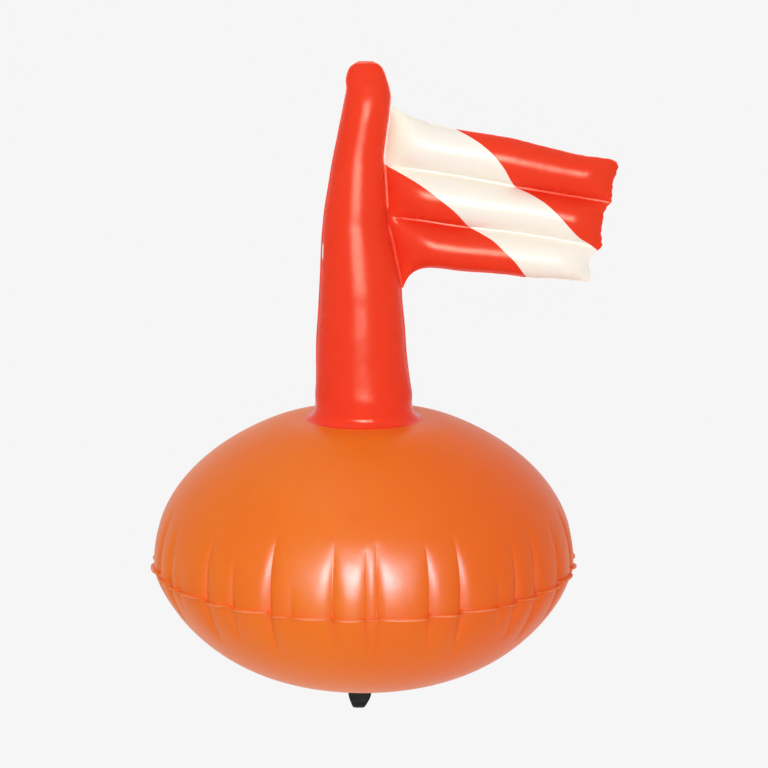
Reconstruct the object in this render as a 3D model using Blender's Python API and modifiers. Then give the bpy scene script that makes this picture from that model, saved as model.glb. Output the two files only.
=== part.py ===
"""Inflatable dive buoy: a flattened ball of two welded film panels that carries an air-filled mast and flag.

Metres, +Z up, +X from the mast towards the flag's free end. The origin is the centre of the line eye
under the ball, where the buoy is held. Shapes of the ball, mast and flag are worked out in the ball's own
frame, whose origin is the middle of the welded seam, and the BallFrame empty places them.
"""

import math

import bmesh
import bpy
from mathutils import Matrix, Vector

# Clearance between pieces that touch, such as the two sides of a weld
GAP = 0.0003

# Ball: radius of the air chamber at the seam, the height above the seam that its crown rises towards, and
# its depth below. Round the mast the crown is drawn flat, at this share of its height.
BALL_RADIUS = 0.187
CROWN_HEIGHT = 0.1443
CROWN_FLAT_SHARE = 0.903
CROWN_FLAT_POWER = 60
BELLY_DEPTH = 0.1067
BALL_FILM = 0.0006
SEAM_WELD = 0.0035
AIR_HOLE_RADIUS = 0.030
# Powers of the ball's profile, r = radius cos(t)^p and z = height sin(t)^q
CROWN_POWERS = (1.22, 0.909)
BELLY_POWERS = (0.735, 1.48)
CROWN_RINGS = 7
BELLY_RINGS = 6

# Puckers that the seam gathers in the film, and how far from the seam they fade out. A smaller roundness
# power makes the bulges rounder and the creases between them sharper.
PUCKER_COUNT = 27
PUCKER_DEPTH = 0.0042
PUCKER_FADE_POWER = 1.5
PUCKER_ROUNDNESS_POWER = 0.6
CROWN_PUCKER_REACH = 0.065
BELLY_PUCKER_REACH = 0.050
SEGMENTS_PER_PUCKER = 3

# Collar: the flared ring that joins the mast's foot to the ball
COLLAR_WALL = 0.0012
COLLAR_LIP = 0.0008
COLLAR_FLARE_WIDTH = 0.0088
COLLAR_FLARE_HEIGHT = 0.009
COLLAR_HEIGHT = 0.018845
COLLAR_FLARE_STEPS = 5
COLLAR_SEGMENTS = 40

# Mast: the outer edges of its two side welds. Each is a point near the foot, as (height above the collar,
# x), and then points as (distance below the tip, x).
MAST_FOOT_RADIUS = 0.0428
MAST_FILM = 0.0005
MAST_WELD = 0.002
MAST_DEPTH_RATIO = 1.02
MAST_HEIGHT = 0.295
MAST_TIP_LENGTH = 0.048
MAST_LEFT_FOOT = (0.050, -0.0415)
MAST_LEFT_EDGE = (
    (0.185, -0.0380),
    (0.127, -0.0337),
    (0.086, -0.0268),
    (0.052, -0.0203),
    (0.029, -0.0150),
    (0.015, -0.0150),
    (0.005, -0.0102),
    (0.0, -0.0040),
)
MAST_HOIST_FOOT = (0.038, 0.0381)
MAST_HOIST_EDGE = (
    (0.200, 0.0337),
    (0.167, 0.0277),
    (0.137, 0.0217),
    (0.091, 0.0190),
    (0.067, 0.0198),
    (0.039, 0.0238),
    (0.029, 0.0240),
    (0.016, 0.0208),
    (0.005, 0.0148),
    (0.0, 0.0080),
)
MAST_ARC_STEPS = 12
MAST_TIP_STEPS = 6
MAST_BODY_STEPS = 12

# Flag: three tubes between four welds, bottom to top, each as (distance from the hoist, distance below the
# mast's tip). The hinge is the flat weld between mast and flag.
FLAG_BOTTOM_EDGE = (
    (0.0, 0.1985),
    (0.0015, 0.1945),
    (0.005, 0.1880),
    (0.011, 0.1830),
    (0.020, 0.1805),
    (0.060, 0.1845),
    (0.109, 0.1895),
    (0.162, 0.1925),
)
FLAG_LOWER_WELD = ((0.0, 0.136), (0.05, 0.1415), (0.10, 0.1495), (0.184, 0.164))
FLAG_UPPER_WELD = ((0.0, 0.091), (0.05, 0.098), (0.10, 0.1065), (0.1945, 0.1228))
FLAG_TOP_EDGE = (
    (0.0, 0.039),
    (0.025, 0.0515),
    (0.045, 0.0572),
    (0.100, 0.0654),
    (0.165, 0.0813),
    (0.1955, 0.0860),
)
# The same welds as (distance from the hoist, height above the collar)
FLAG_WELD_LINES = [
    [(distance, MAST_HEIGHT - drop) for distance, drop in weld]
    for weld in (FLAG_BOTTOM_EDGE, FLAG_LOWER_WELD, FLAG_UPPER_WELD, FLAG_TOP_EDGE)
]
FLAG_FILM = 0.0005
FLAG_RIM = 0.0025
FLAG_WELD = 0.002
FLAG_FULLNESS = 0.34
TUBE_ARCH_POWER = 0.8
FLAG_HOIST_TAPER = 0.030
FLAG_FLY_TAPER = 0.018
AIR_WAY_LENGTH = 0.012
AIR_WAY_SHARE = 0.5
HINGE_GAP = 0.0008
FLAG_TUBE_STEPS = 6
FLAG_HOIST_STEPS = 4
FLAG_MIDDLE_STEPS = 4
FLAG_FLY_STEPS = 3
# How far each tube's free end bows out past its two welds, and how quickly that and the fit of the hoist's
# outline fade along the flag
FLAG_FLY_SCALLOPS = (-0.002, -0.001, 0.003)
SCALLOP_FADE_POWER = 6
HOIST_FIT_FADE_POWER = 3

# Stripe: its two long edges as (x from the ball's axis, distance below the mast's tip), and its film
STRIPE_FILM = 0.0003
STRIPE_LOWER_EDGE = (
    (0.010, 0.085),
    (0.049, 0.108),
    (0.080, 0.1325),
    (0.098, 0.1495),
    (0.122, 0.166),
    (0.150, 0.198),
)
STRIPE_UPPER_EDGE = (
    (0.066, 0.0515),
    (0.098, 0.070),
    (0.121, 0.092),
    (0.140, 0.113),
    (0.172, 0.137),
    (0.215, 0.171),
)
STRIPE_PAST = 0.03

# Valve behind the mast: how far it stands in from the seam, and its sizes
VALVE_FROM_SEAM = 0.035
VALVE_FLANGE_RADIUS = 0.013
VALVE_FLANGE_THICKNESS = 0.0012
VALVE_STEM_RADIUS = 0.0058
VALVE_BORE_RADIUS = 0.0036
VALVE_STEM_HEIGHT = 0.012
VALVE_NOZZLE_RADIUS = 0.0052
VALVE_NOZZLE_DEPTH = 0.005
VALVE_FLAP_THICKNESS = 0.0008
PLUG_CLEARANCE = 0.0003
PLUG_REACH = 0.008
PLUG_CAP_RADIUS = 0.007
PLUG_CAP_THICKNESS = 0.0026
TETHER_WIDTH = 0.003
TETHER_THICKNESS = 0.0008
TETHER_BOW = 0.009
TETHER_STEPS = 12
VALVE_SEGMENTS = 24

# Line lug under the ball: distance of its eye below the belly, the eye, and the tapered tongue round it
LUG_SIDESTEP = 0.0042
LUG_EYE_DROP = 0.021
LUG_EYE_RADIUS = 0.0045
LUG_TIP_RADIUS = 0.0103
LUG_TIP_WIDTH = 0.0100
LUG_WIDTH = 0.0210
LUG_SHOULDER_RISE = 0.0018
LUG_ROOT_DEPTH = 0.026
LUG_CORNER_RADIUS = 0.0020
LUG_CORNER_START = -90
LUG_CORNER_END = -25
LUG_CORNER_STEPS = 4
LUG_END_STEPS = 12
LUG_FLANGE_RADIUS = 0.028
LUG_FLANGE_THICKNESS = 0.0015
PATCH_RADIUS = 0.045
PATCH_FILM = 0.0006
PATCH_STEPS = 2
LUG_SEGMENTS = 36

# Ballast inside the belly, in its own welded pocket
BALLAST_RADIUS = 0.035
BALLAST_THICKNESS = 0.007
BALLAST_EDGE = 0.0014
POCKET_FILM = 0.0006
POCKET_RIM = 0.010
BALLAST_SEGMENTS = 36

# Steepest angle in degrees that is still shaded smooth
SMOOTH_ANGLE = 35

# Colours, as linear red, green and blue
BALL_ORANGE = (0.82, 0.16, 0.02)
SIGNAL_RED = (0.84, 0.05, 0.02)
WARM_WHITE = (0.93, 0.88, 0.78)
VALVE_BLACK = (0.02, 0.02, 0.02)
LEAD_GREY = (0.20, 0.20, 0.21)


def clear_scene():
    """Removes everything that the scene starts with."""
    for obj in list(bpy.data.objects):
        bpy.data.objects.remove(obj, do_unlink=True)


def new_collection(name):
    collection = bpy.data.collections.new(name)
    bpy.context.scene.collection.children.link(collection)
    return collection


def new_material(name, colour, roughness, metallic=0.0):
    material = bpy.data.materials.new(name)
    material.use_nodes = True
    shader = material.node_tree.nodes["Principled BSDF"]
    shader.inputs["Base Color"].default_value = (*colour, 1.0)
    shader.inputs["Roughness"].default_value = roughness
    shader.inputs["Metallic"].default_value = metallic
    return material


def smooth_curve(points, at):
    """Value at this position of the smooth curve through (position, value) points, by cubic Hermite."""
    last = len(points) - 2
    k = next((i for i in range(last) if at < points[i + 1][0]), last)

    def slope(i):
        low, high = points[max(i - 1, 0)], points[min(i + 1, len(points) - 1)]
        return (high[1] - low[1]) / (high[0] - low[0])

    (x0, y0), (x1, y1) = points[k], points[k + 1]
    span = x1 - x0
    s = (at - x0) / span
    return (
        (2 * s**3 - 3 * s**2 + 1) * y0
        + (s**3 - 2 * s**2 + s) * span * slope(k)
        + (3 * s**2 - 2 * s**3) * y1
        + (s**3 - s**2) * span * slope(k + 1)
    )


def spaced(start, end, steps):
    """Evenly spaced values, both ends included."""
    return [start + (end - start) * i / steps for i in range(steps + 1)]


def object_of(name, mesh, collection, material=None):
    obj = bpy.data.objects.new(name, mesh)
    collection.objects.link(obj)
    if material:
        mesh.materials.append(material)
    return obj


def mesh_of(name, build):
    """A mesh that the function build fills in through bmesh."""
    mesh = bpy.data.meshes.new(name)
    bm = bmesh.new()
    build(bm)
    bm.to_mesh(mesh)
    bm.free()
    return mesh


def shade(obj):
    obj.data.shade_smooth()
    obj.data.set_sharp_from_angle(angle=math.radians(SMOOTH_ANGLE))


def profile_mesh(name, points, closed):
    """A chain of edges through (radius, height) points at +X."""

    def build(bm):
        verts = [bm.verts.new((radius, 0.0, height)) for radius, height in points]
        for a, b in zip(verts, verts[1:]):
            bm.edges.new((a, b))
        if closed:
            bm.edges.new((verts[-1], verts[0]))

    return mesh_of(name, build)


def turned(name, points, segments, collection, material=None, closed=True):
    """A profile turned about Z. Its outer side runs from the top down."""
    obj = object_of(name, profile_mesh(name, points, closed), collection, material)
    screw = obj.modifiers.new("Turn", "SCREW")
    screw.steps = screw.render_steps = segments
    screw.use_merge_vertices = True
    screw.merge_threshold = 0.00001
    screw.use_smooth_shade = False
    return obj


def applied(obj):
    """Replaces the object's mesh by its evaluated one, and drops its modifiers."""
    graph = bpy.context.evaluated_depsgraph_get()
    mesh = bpy.data.meshes.new_from_object(obj.evaluated_get(graph))
    obj.modifiers.clear()
    obj.data = mesh


def solidify(obj, thickness, offset=0.0):
    wall = obj.modifiers.new("Wall", "SOLIDIFY")
    wall.thickness = thickness
    wall.offset = offset
    wall.use_even_offset = True
    wall.use_quality_normals = True


def boolean(obj, operation, other):
    cut = obj.modifiers.new(operation.capitalize(), "BOOLEAN")
    cut.operation = operation
    cut.object = other
    cut.solver = "EXACT"


def as_cutter(obj):
    obj.hide_render = True
    obj.display_type = "WIRE"
    return obj


def attach(obj, parent):
    """Parents the object and leaves its own coordinates as they are, in the parent's frame."""
    obj.parent = parent


def new_empty(name, collection, matrix, parent=None):
    empty = bpy.data.objects.new(name, None)
    empty.empty_display_size = 0.02
    collection.objects.link(empty)
    empty.parent = parent
    empty.matrix_basis = matrix
    return empty


def sheet(name, columns, rows, place, collection, material):
    """An open grid whose crossing (i, j) lies at place(columns[i], rows[j])."""

    def build(bm):
        bmesh.ops.create_grid(bm, x_segments=len(columns) - 1, y_segments=len(rows) - 1, size=1.0)
        for vert in bm.verts:
            i = round((vert.co.x + 1) / 2 * (len(columns) - 1))
            j = round((vert.co.y + 1) / 2 * (len(rows) - 1))
            vert.co = place(columns[i], rows[j])

    return object_of(name, mesh_of(name, build), collection, material)


def prism_mesh(name, outline, depth):
    """The outline of (x, z) points, run from -depth to depth along Y."""

    def build(bm):
        face = bm.faces.new([bm.verts.new((x, -depth, z)) for x, z in outline])
        grown = bmesh.ops.extrude_face_region(bm, geom=[face])["geom"]
        far = [v for v in grown if isinstance(v, bmesh.types.BMVert)]
        bmesh.ops.translate(bm, verts=far, vec=(0, 2 * depth, 0))
        bmesh.ops.recalc_face_normals(bm, faces=bm.faces)

    return mesh_of(name, build)


def arc(centre, radius, start, end, steps):
    """(x, z) points along a circle's arc, with angles in degrees."""
    turns = [math.radians(a) for a in spaced(start, end, steps)]
    return [(centre[0] + radius * math.cos(a), centre[1] + radius * math.sin(a)) for a in turns]


def ball_profile(turn, height, powers):
    """(radius, height) of the ball's surface at this angle of its profile, 0 at the seam."""
    return BALL_RADIUS * math.cos(turn) ** powers[0], height * math.sin(turn) ** powers[1]


def ball_rings(radii, rings, height, powers):
    """(radius, height) of the film's rings: at these radii near the pole, then in even turns to the seam."""
    near_pole = [math.acos((radius / BALL_RADIUS) ** (1 / powers[0])) for radius in radii]
    to_seam = spaced(near_pole[-1], 0.0, rings)[1:-1]
    return [ball_profile(turn, height, powers) for turn in near_pole + to_seam]


def flattened(height):
    """The crown's height, held softly under the flat round the mast."""
    flat = CROWN_FLAT_SHARE * CROWN_HEIGHT
    return height * (1 + (height / flat) ** CROWN_FLAT_POWER) ** (-1 / CROWN_FLAT_POWER)


def crown_rings():
    """Rings of the upper panel, from the air hole past the collar's inner and outer edge to the seam."""
    radii = [AIR_HOLE_RADIUS, MAST_FOOT_RADIUS - COLLAR_WALL, MAST_FOOT_RADIUS + COLLAR_FLARE_WIDTH]
    rings = ball_rings(radii, CROWN_RINGS, CROWN_HEIGHT, CROWN_POWERS)
    return [(radius, flattened(height)) for radius, height in rings]


def patch_radii():
    """Radii of the rings that the lower panel and the doubling patch share."""
    return spaced(0.0, PATCH_RADIUS, PATCH_STEPS)


def belly_rings():
    """Rings of the lower panel, from the pole past the doubling patch to the seam."""
    return ball_rings(patch_radii(), BELLY_RINGS, -BELLY_DEPTH, BELLY_POWERS)


def height_on(rings, radius):
    """Height of the faceted film between its rings at this radius."""
    k = next(i for i in range(len(rings) - 1) if radius <= rings[i + 1][0] or i == len(rings) - 2)
    (r0, z0), (r1, z1) = rings[k], rings[k + 1]
    return z0 + (z1 - z0) * (radius - r0) / (r1 - r0)


def crown_height(radius):
    return height_on(crown_rings(), radius)


def belly_height(radius):
    return height_on(belly_rings(), radius)


def pucker(angle, height, reach):
    """How far the gathered seam draws the film in: sharp creases between round bulges."""
    fade = max(0.0, 1.0 - abs(height) / reach) ** PUCKER_FADE_POWER
    bulge = abs(math.sin(PUCKER_COUNT * angle / 2.0)) ** PUCKER_ROUNDNESS_POWER
    return PUCKER_DEPTH * fade * (1.0 - bulge)


def gather(obj, reach):
    """Draws the film in at each pucker, near the seam."""
    for vert in obj.data.vertices:
        outward = Vector((vert.co.x, vert.co.y, 0.0)).normalized()
        vert.co -= outward * pucker(math.atan2(vert.co.y, vert.co.x), vert.co.z, reach)


def film_panel(name, profile, reach, collection, material):
    """Half of the ball: a turned film with a welded rim and puckers, its outer face on the profile."""
    segments = PUCKER_COUNT * SEGMENTS_PER_PUCKER
    obj = turned(name, profile, segments, collection, material, closed=False)
    applied(obj)
    gather(obj, reach)
    solidify(obj, BALL_FILM, -1.0)
    return obj


def upper_panel(collection, cutters, frame, valve_frame, material):
    """Upper half of the ball, with the air hole under the mast and the hole for the valve."""
    seam_height = GAP / 2 + BALL_FILM
    rim = [(BALL_RADIUS, seam_height), (BALL_RADIUS + SEAM_WELD, seam_height)]
    obj = film_panel("upper_panel", crown_rings() + rim, CROWN_PUCKER_REACH, collection, material)
    attach(obj, frame)
    hole = turned(
        "valve_hole",
        [
            (0.0, VALVE_STEM_HEIGHT),
            (VALVE_NOZZLE_RADIUS + 2 * GAP, VALVE_STEM_HEIGHT),
            (VALVE_NOZZLE_RADIUS + 2 * GAP, -VALVE_STEM_HEIGHT),
            (0.0, -VALVE_STEM_HEIGHT),
        ],
        VALVE_SEGMENTS,
        cutters,
        closed=False,
    )
    attach(as_cutter(hole), valve_frame)
    boolean(obj, "DIFFERENCE", hole)
    return obj


def lower_panel(collection, frame, material):
    """Lower half of the ball, closed at the bottom."""
    seam_height = -GAP / 2 - BALL_FILM
    rim = [(BALL_RADIUS + SEAM_WELD, seam_height), (BALL_RADIUS, seam_height)]
    obj = film_panel("lower_panel", rim + belly_rings()[::-1], BELLY_PUCKER_REACH, collection, material)
    attach(obj, frame)
    return obj


def mast_collar(collection, frame, material):
    """The flared ring: a lip on the ball, a hollow flare and a short upright wall."""
    inner = MAST_FOOT_RADIUS - COLLAR_WALL
    outer = MAST_FOOT_RADIUS + COLLAR_FLARE_WIDTH
    top = mast_base()
    lip_top = crown_height(outer) + GAP + COLLAR_LIP
    flare = [
        (outer - COLLAR_FLARE_WIDTH * math.sin(a), lip_top + COLLAR_FLARE_HEIGHT * (1 - math.cos(a)))
        for a in reversed(spaced(0.0, math.pi / 2, COLLAR_FLARE_STEPS))
    ]
    foot = [(r, crown_height(r) + GAP) for r in (outer, inner)]
    profile = [(inner, top), (MAST_FOOT_RADIUS, top)] + flare + foot
    obj = turned("mast_collar", profile, COLLAR_SEGMENTS, collection, material)
    attach(obj, frame)
    return obj


def mast_base():
    """Height of the collar's top edge, where the mast's panels start."""
    return crown_height(MAST_FOOT_RADIUS) + COLLAR_HEIGHT


def mast_edges(height):
    """x of the mast's left and hoist edges at this height above the collar."""

    def edge(foot, near_foot, from_tip):
        above = [(MAST_HEIGHT - drop, x) for drop, x in from_tip]
        return smooth_curve([(0.0, foot), near_foot] + above, height)

    left = edge(-MAST_FOOT_RADIUS, MAST_LEFT_FOOT, MAST_LEFT_EDGE)
    hoist = edge(MAST_FOOT_RADIUS, MAST_HOIST_FOOT, MAST_HOIST_EDGE)
    return left, hoist


def mast_depth(height, half_width):
    """Half the mast's depth along Y: round below, closing to the flat weld at the tip."""
    into_tip = max(0.0, height - (MAST_HEIGHT - MAST_WELD - MAST_TIP_LENGTH)) / MAST_TIP_LENGTH
    return MAST_DEPTH_RATIO * half_width * math.sqrt(max(0.0, 1.0 - into_tip**2))


def mast_rows():
    """Heights of the mast's cross-sections, closer together towards the tip."""
    tip_start = MAST_HEIGHT - MAST_WELD - MAST_TIP_LENGTH
    body = spaced(GAP, tip_start, MAST_BODY_STEPS)
    tip = [tip_start + MAST_TIP_LENGTH * math.sin(a) for a in spaced(0.0, math.pi / 2, MAST_TIP_STEPS)[1:]]
    return body + tip + [MAST_HEIGHT]


def mast_panel(name, side, collection, frame, material):
    """Front (side -1) or back (side 1) half of the mast, with its flat side welds."""

    def place(across, height):
        left, hoist = mast_edges(height)
        middle = (left + hoist) / 2
        flat_y = side * (GAP + MAST_FILM) / 2
        if abs(across) > 1:
            return middle + math.copysign((hoist - left) / 2, across), flat_y, mast_base() + height
        half_width = (hoist - left) / 2 - MAST_WELD
        turn = math.pi / 2 * (1 - across)
        depth = mast_depth(height, half_width) * math.sin(turn)
        return middle + half_width * math.cos(turn), flat_y + side * depth, mast_base() + height

    columns = [-2.0] + spaced(-1.0, 1.0, MAST_ARC_STEPS) + [2.0]
    obj = sheet(name, columns, mast_rows(), place, collection, material)
    solidify(obj, MAST_FILM)
    attach(obj, frame)
    return obj


def flag_station(across):
    """The flag's tube at this height number, and the share of its width below that height."""
    tube = min(int(across), len(FLAG_WELD_LINES) - 2)
    return tube, across - tube


def weld_point(line, along):
    """(x, z) on one of the flag's weld lines, which all start on the mast's hoist edge."""
    distance = along * line[-1][0]
    return Vector((mast_edges(line[0][1])[1] + distance, smooth_curve(line, distance)))


def flag_outline(along, across):
    """(x, z) in the flag's plane: along runs 0 to 1 from hoist to fly, across 0 to 3 from bottom to top."""
    tube, share = flag_station(across)
    lower, upper = FLAG_WELD_LINES[tube : tube + 2]
    x, z = weld_point(lower, along).lerp(weld_point(upper, along), share)
    start_x, start_z = weld_point(lower, 0.0).lerp(weld_point(upper, 0.0), share)
    hoist_fit = (mast_edges(start_z)[1] - start_x) * (1 - along) ** HOIST_FIT_FADE_POWER
    scallop = FLAG_FLY_SCALLOPS[tube] * math.sin(math.pi * share) * along**SCALLOP_FADE_POWER
    return x + HINGE_GAP + hoist_fit + scallop, mast_base() + z


def tube_flats(tube):
    """Shares of a tube's width that are flat at its lower and upper side: the rim, or half of a weld."""
    width = FLAG_WELD_LINES[tube + 1][0][1] - FLAG_WELD_LINES[tube][0][1]
    low = FLAG_RIM if tube == 0 else FLAG_WELD / 2
    high = FLAG_RIM if tube == len(FLAG_WELD_LINES) - 2 else FLAG_WELD / 2
    return low / width, high / width


def tube_arch(across):
    """Share of a tube's full thickness at this height number, nothing on the welds and the rim."""
    tube, share = flag_station(across)
    low, high = tube_flats(tube)
    inside = (share - low) / (1 - low - high)
    return math.sin(math.pi * min(max(inside, 0.0), 1.0)) ** TUBE_ARCH_POWER


def flag_bulge(along, across):
    """Half the flag's thickness outside its welds."""
    tube, _ = flag_station(across)
    lower, upper = FLAG_WELD_LINES[tube : tube + 2]
    length = (lower[-1][0] + upper[-1][0]) / 2
    distance = along * length
    width = smooth_curve(upper, along * upper[-1][0]) - smooth_curve(lower, along * lower[-1][0])
    from_hoist = min(max((distance - FLAG_RIM) / FLAG_HOIST_TAPER, 0.0), 1.0)
    from_fly = min(max((length - FLAG_RIM - distance) / FLAG_FLY_TAPER, 0.0), 1.0)
    air_way = max(0.0, 1.0 - (distance - FLAG_RIM) / AIR_WAY_LENGTH) if distance > FLAG_RIM else 0.0
    air_way *= AIR_WAY_SHARE * math.sin(math.pi * across / (len(FLAG_WELD_LINES) - 1))
    arch = max(tube_arch(across), air_way)
    ends = math.sin(math.pi / 2 * from_hoist) * math.sqrt(1 - (1 - from_fly) ** 2)
    return FLAG_FULLNESS * width * arch * ends


def flag_point(along, across, side):
    """A point of the flag panel's middle surface, in the ball's frame."""
    x, z = flag_outline(along, across)
    return Vector((x, side * ((GAP + FLAG_FILM) / 2 + flag_bulge(along, across)), z))


def flag_columns():
    """Stations from hoist to fly: the flat rims, close steps in the tapers and even ones between."""
    length = FLAG_TOP_EDGE[-1][0]
    rim = FLAG_RIM / length
    hoist_end = (FLAG_RIM + FLAG_HOIST_TAPER) / length
    fly_start = 1 - (FLAG_RIM + FLAG_FLY_TAPER) / length
    hoist_taper = spaced(rim, hoist_end, FLAG_HOIST_STEPS)
    middle = spaced(hoist_end, fly_start, FLAG_MIDDLE_STEPS)[1:]
    turns = spaced(0.0, math.pi / 2, FLAG_FLY_STEPS)[1:]
    fly_taper = [fly_start + (1 - rim - fly_start) * math.sin(turn) for turn in turns]
    return [0.0] + hoist_taper + middle + fly_taper + [1.0]


def flag_rows():
    """Stations from bottom to top: the flat rims and welds, and even steps across each tube."""
    rows = [0.0]
    tubes = len(FLAG_WELD_LINES) - 1
    for tube in range(tubes):
        low, high = tube_flats(tube)
        rows += spaced(tube + low, tube + 1 - high, FLAG_TUBE_STEPS)
    return rows + [float(tubes)]


def flag_panel(name, side, collection, hinge, to_hinge, material):
    """Front (side -1) or back (side 1) of the flag."""

    def place(along, across):
        return to_hinge @ flag_point(along, across, side)

    obj = sheet(name, flag_columns(), flag_rows(), place, collection, material)
    solidify(obj, FLAG_FILM)
    attach(obj, hinge)
    return obj


def lift(obj, distance, side):
    """Moves an open surface off itself, towards this side in Y, by the distance from every face."""
    bm = bmesh.new()
    bm.from_mesh(obj.data)
    bm.normal_update()
    shifts = []
    for vert in bm.verts:
        normals = [face.normal if face.normal.y * side > 0 else -face.normal for face in vert.link_faces]
        mean = sum(normals, Vector()).normalized()
        shifts.append(mean * distance / min(mean.dot(normal) for normal in normals))
    for vert, shift in zip(bm.verts, shifts):
        vert.co += shift
    bm.to_mesh(obj.data)
    bm.free()


def flag_stripe(name, side, collection, hinge, to_hinge, cutter, material):
    """The diagonal white film on one face of the flag, cut out along the stripe's edges."""

    def place(along, across):
        return to_hinge @ flag_point(along, across, side)

    obj = sheet(name, flag_columns(), flag_rows(), place, collection, material)
    lift(obj, FLAG_FILM / 2 + GAP + STRIPE_FILM / 2, side)
    solidify(obj, STRIPE_FILM)
    boolean(obj, "INTERSECT", cutter)
    attach(obj, hinge)
    return obj


def stripe_cutter(cutters, frame):
    """A prism through the flag between the stripe's two long edges, wider than the flag at both ends."""
    tip = mast_base() + MAST_HEIGHT
    lower = [(x, tip - drop) for x, drop in STRIPE_LOWER_EDGE]
    upper = [(x, tip - drop) for x, drop in STRIPE_UPPER_EDGE]
    hoist_corner = (lower[0][0], upper[0][1] + STRIPE_PAST)
    fly_corner = (upper[-1][0] + STRIPE_PAST, lower[-1][1] - STRIPE_PAST / 2)
    outline = lower + [fly_corner] + upper[::-1] + [hoist_corner]
    cutter = object_of("stripe_outline", prism_mesh("stripe_outline", outline, STRIPE_PAST), cutters)
    attach(as_cutter(cutter), frame)
    return cutter


def hinge_matrix():
    """Frame of the flag's hinge: on the straight line along the hoist weld, with Z up that line."""
    low, high = FLAG_WELD_LINES[1][0][1], FLAG_WELD_LINES[-1][0][1]
    middle = HINGE_GAP / 2
    bottom = Vector((mast_edges(low)[1] + middle, 0.0, mast_base() + low))
    top = Vector((mast_edges(high)[1] + middle, 0.0, mast_base() + high))
    upward = (top - bottom).normalized()
    turn = Vector((0, 0, 1)).rotation_difference(upward).to_matrix().to_4x4()
    return Matrix.Translation(bottom) @ turn


def valve_matrix():
    """Frame of the valve: on the back of the crown, with Z along the film's outward normal."""
    step = BALL_FILM
    radius = BALL_RADIUS - VALVE_FROM_SEAM
    slope = (crown_height(radius + step) - crown_height(radius - step)) / (2 * step)
    outward = Vector((0.0, -slope, 1.0)).normalized()
    place = Vector((0.0, radius, crown_height(radius)))
    turn = Vector((0, 0, 1)).rotation_difference(outward).to_matrix().to_4x4()
    return Matrix.Translation(place) @ turn


def valve_body(collection, frame, material):
    """Flange, stem and inner nozzle round one bore."""
    flange_top = GAP + VALVE_FLANGE_THICKNESS
    profile = [
        (VALVE_BORE_RADIUS, VALVE_STEM_HEIGHT),
        (VALVE_STEM_RADIUS, VALVE_STEM_HEIGHT),
        (VALVE_STEM_RADIUS, flange_top),
        (VALVE_FLANGE_RADIUS, flange_top),
        (VALVE_FLANGE_RADIUS, GAP),
        (VALVE_NOZZLE_RADIUS, GAP),
        (VALVE_NOZZLE_RADIUS, -VALVE_NOZZLE_DEPTH),
        (VALVE_BORE_RADIUS, -VALVE_NOZZLE_DEPTH),
    ]
    obj = turned("valve_body", profile, VALVE_SEGMENTS, collection, material)
    attach(obj, frame)
    return obj


def valve_flap(collection, frame, material):
    """The non-return disc under the nozzle. Its origin is on its hinge, at the nozzle's edge."""
    top = -GAP / 2
    profile = [(0.0, top), (VALVE_NOZZLE_RADIUS, top), (VALVE_NOZZLE_RADIUS, top - VALVE_FLAP_THICKNESS)]
    profile.append((0.0, top - VALVE_FLAP_THICKNESS))
    obj = turned("valve_flap", profile, VALVE_SEGMENTS, collection, material, closed=False)
    applied(obj)
    obj.data.transform(Matrix.Translation((VALVE_NOZZLE_RADIUS, 0.0, 0.0)))
    obj.location = (-VALVE_NOZZLE_RADIUS, 0.0, -VALVE_NOZZLE_DEPTH - GAP / 2)
    attach(obj, frame)
    return obj


def valve_plug(collection, frame, material):
    """The stopper: a cap with a tapered stem in the bore."""
    under_cap = VALVE_STEM_HEIGHT + GAP
    stem = VALVE_BORE_RADIUS - PLUG_CLEARANCE
    lead_in = stem - 2 * PLUG_CLEARANCE
    profile = [
        (0.0, under_cap + PLUG_CAP_THICKNESS),
        (PLUG_CAP_RADIUS - GAP, under_cap + PLUG_CAP_THICKNESS),
        (PLUG_CAP_RADIUS, under_cap + PLUG_CAP_THICKNESS - GAP),
        (PLUG_CAP_RADIUS, under_cap),
        (stem, under_cap),
        (stem, under_cap - PLUG_REACH / 2),
        (lead_in, under_cap - PLUG_REACH),
        (0.0, under_cap - PLUG_REACH),
    ]
    obj = turned("valve_plug", profile, VALVE_SEGMENTS, collection, material, closed=False)
    attach(obj, frame)
    return obj


def plug_tether(collection, frame, material):
    """The strap that keeps the plug on the valve: a bow from the flange up to the cap's side."""
    low = GAP + VALVE_FLANGE_THICKNESS + GAP + TETHER_THICKNESS / 2
    high = VALVE_STEM_HEIGHT + GAP + PLUG_CAP_THICKNESS / 2
    start = VALVE_FLANGE_RADIUS - TETHER_WIDTH
    end = PLUG_CAP_RADIUS + GAP

    def place(along, across):
        turn = math.pi * (along - 0.5)
        x = start + (end - start) * along + TETHER_BOW * math.cos(turn)
        z = (low + high) / 2 + (high - low) / 2 * math.sin(turn)
        return x, across * TETHER_WIDTH / 2, z

    obj = sheet("plug_tether", spaced(0.0, 1.0, TETHER_STEPS), [-1.0, 1.0], place, collection, material)
    solidify(obj, TETHER_THICKNESS)
    attach(obj, frame)
    return obj


def bottom_patch(collection, frame, material):
    """The doubling disc welded under the ball, between the film and the lug."""
    top = [(r, belly_height(r) - GAP) for r in patch_radii()]
    profile = top + [(r, z - PATCH_FILM) for r, z in reversed(top)]
    obj = turned("bottom_patch", profile, LUG_SEGMENTS, collection, material, closed=False)
    attach(obj, frame)
    return obj


def lug_seat(radius):
    """Height of the lug flange's upper face."""
    return belly_height(radius) - GAP - PATCH_FILM - GAP


def eye_height():
    """Height of the line eye's centre in the ball's frame."""
    return -BELLY_DEPTH - LUG_EYE_DROP


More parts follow.
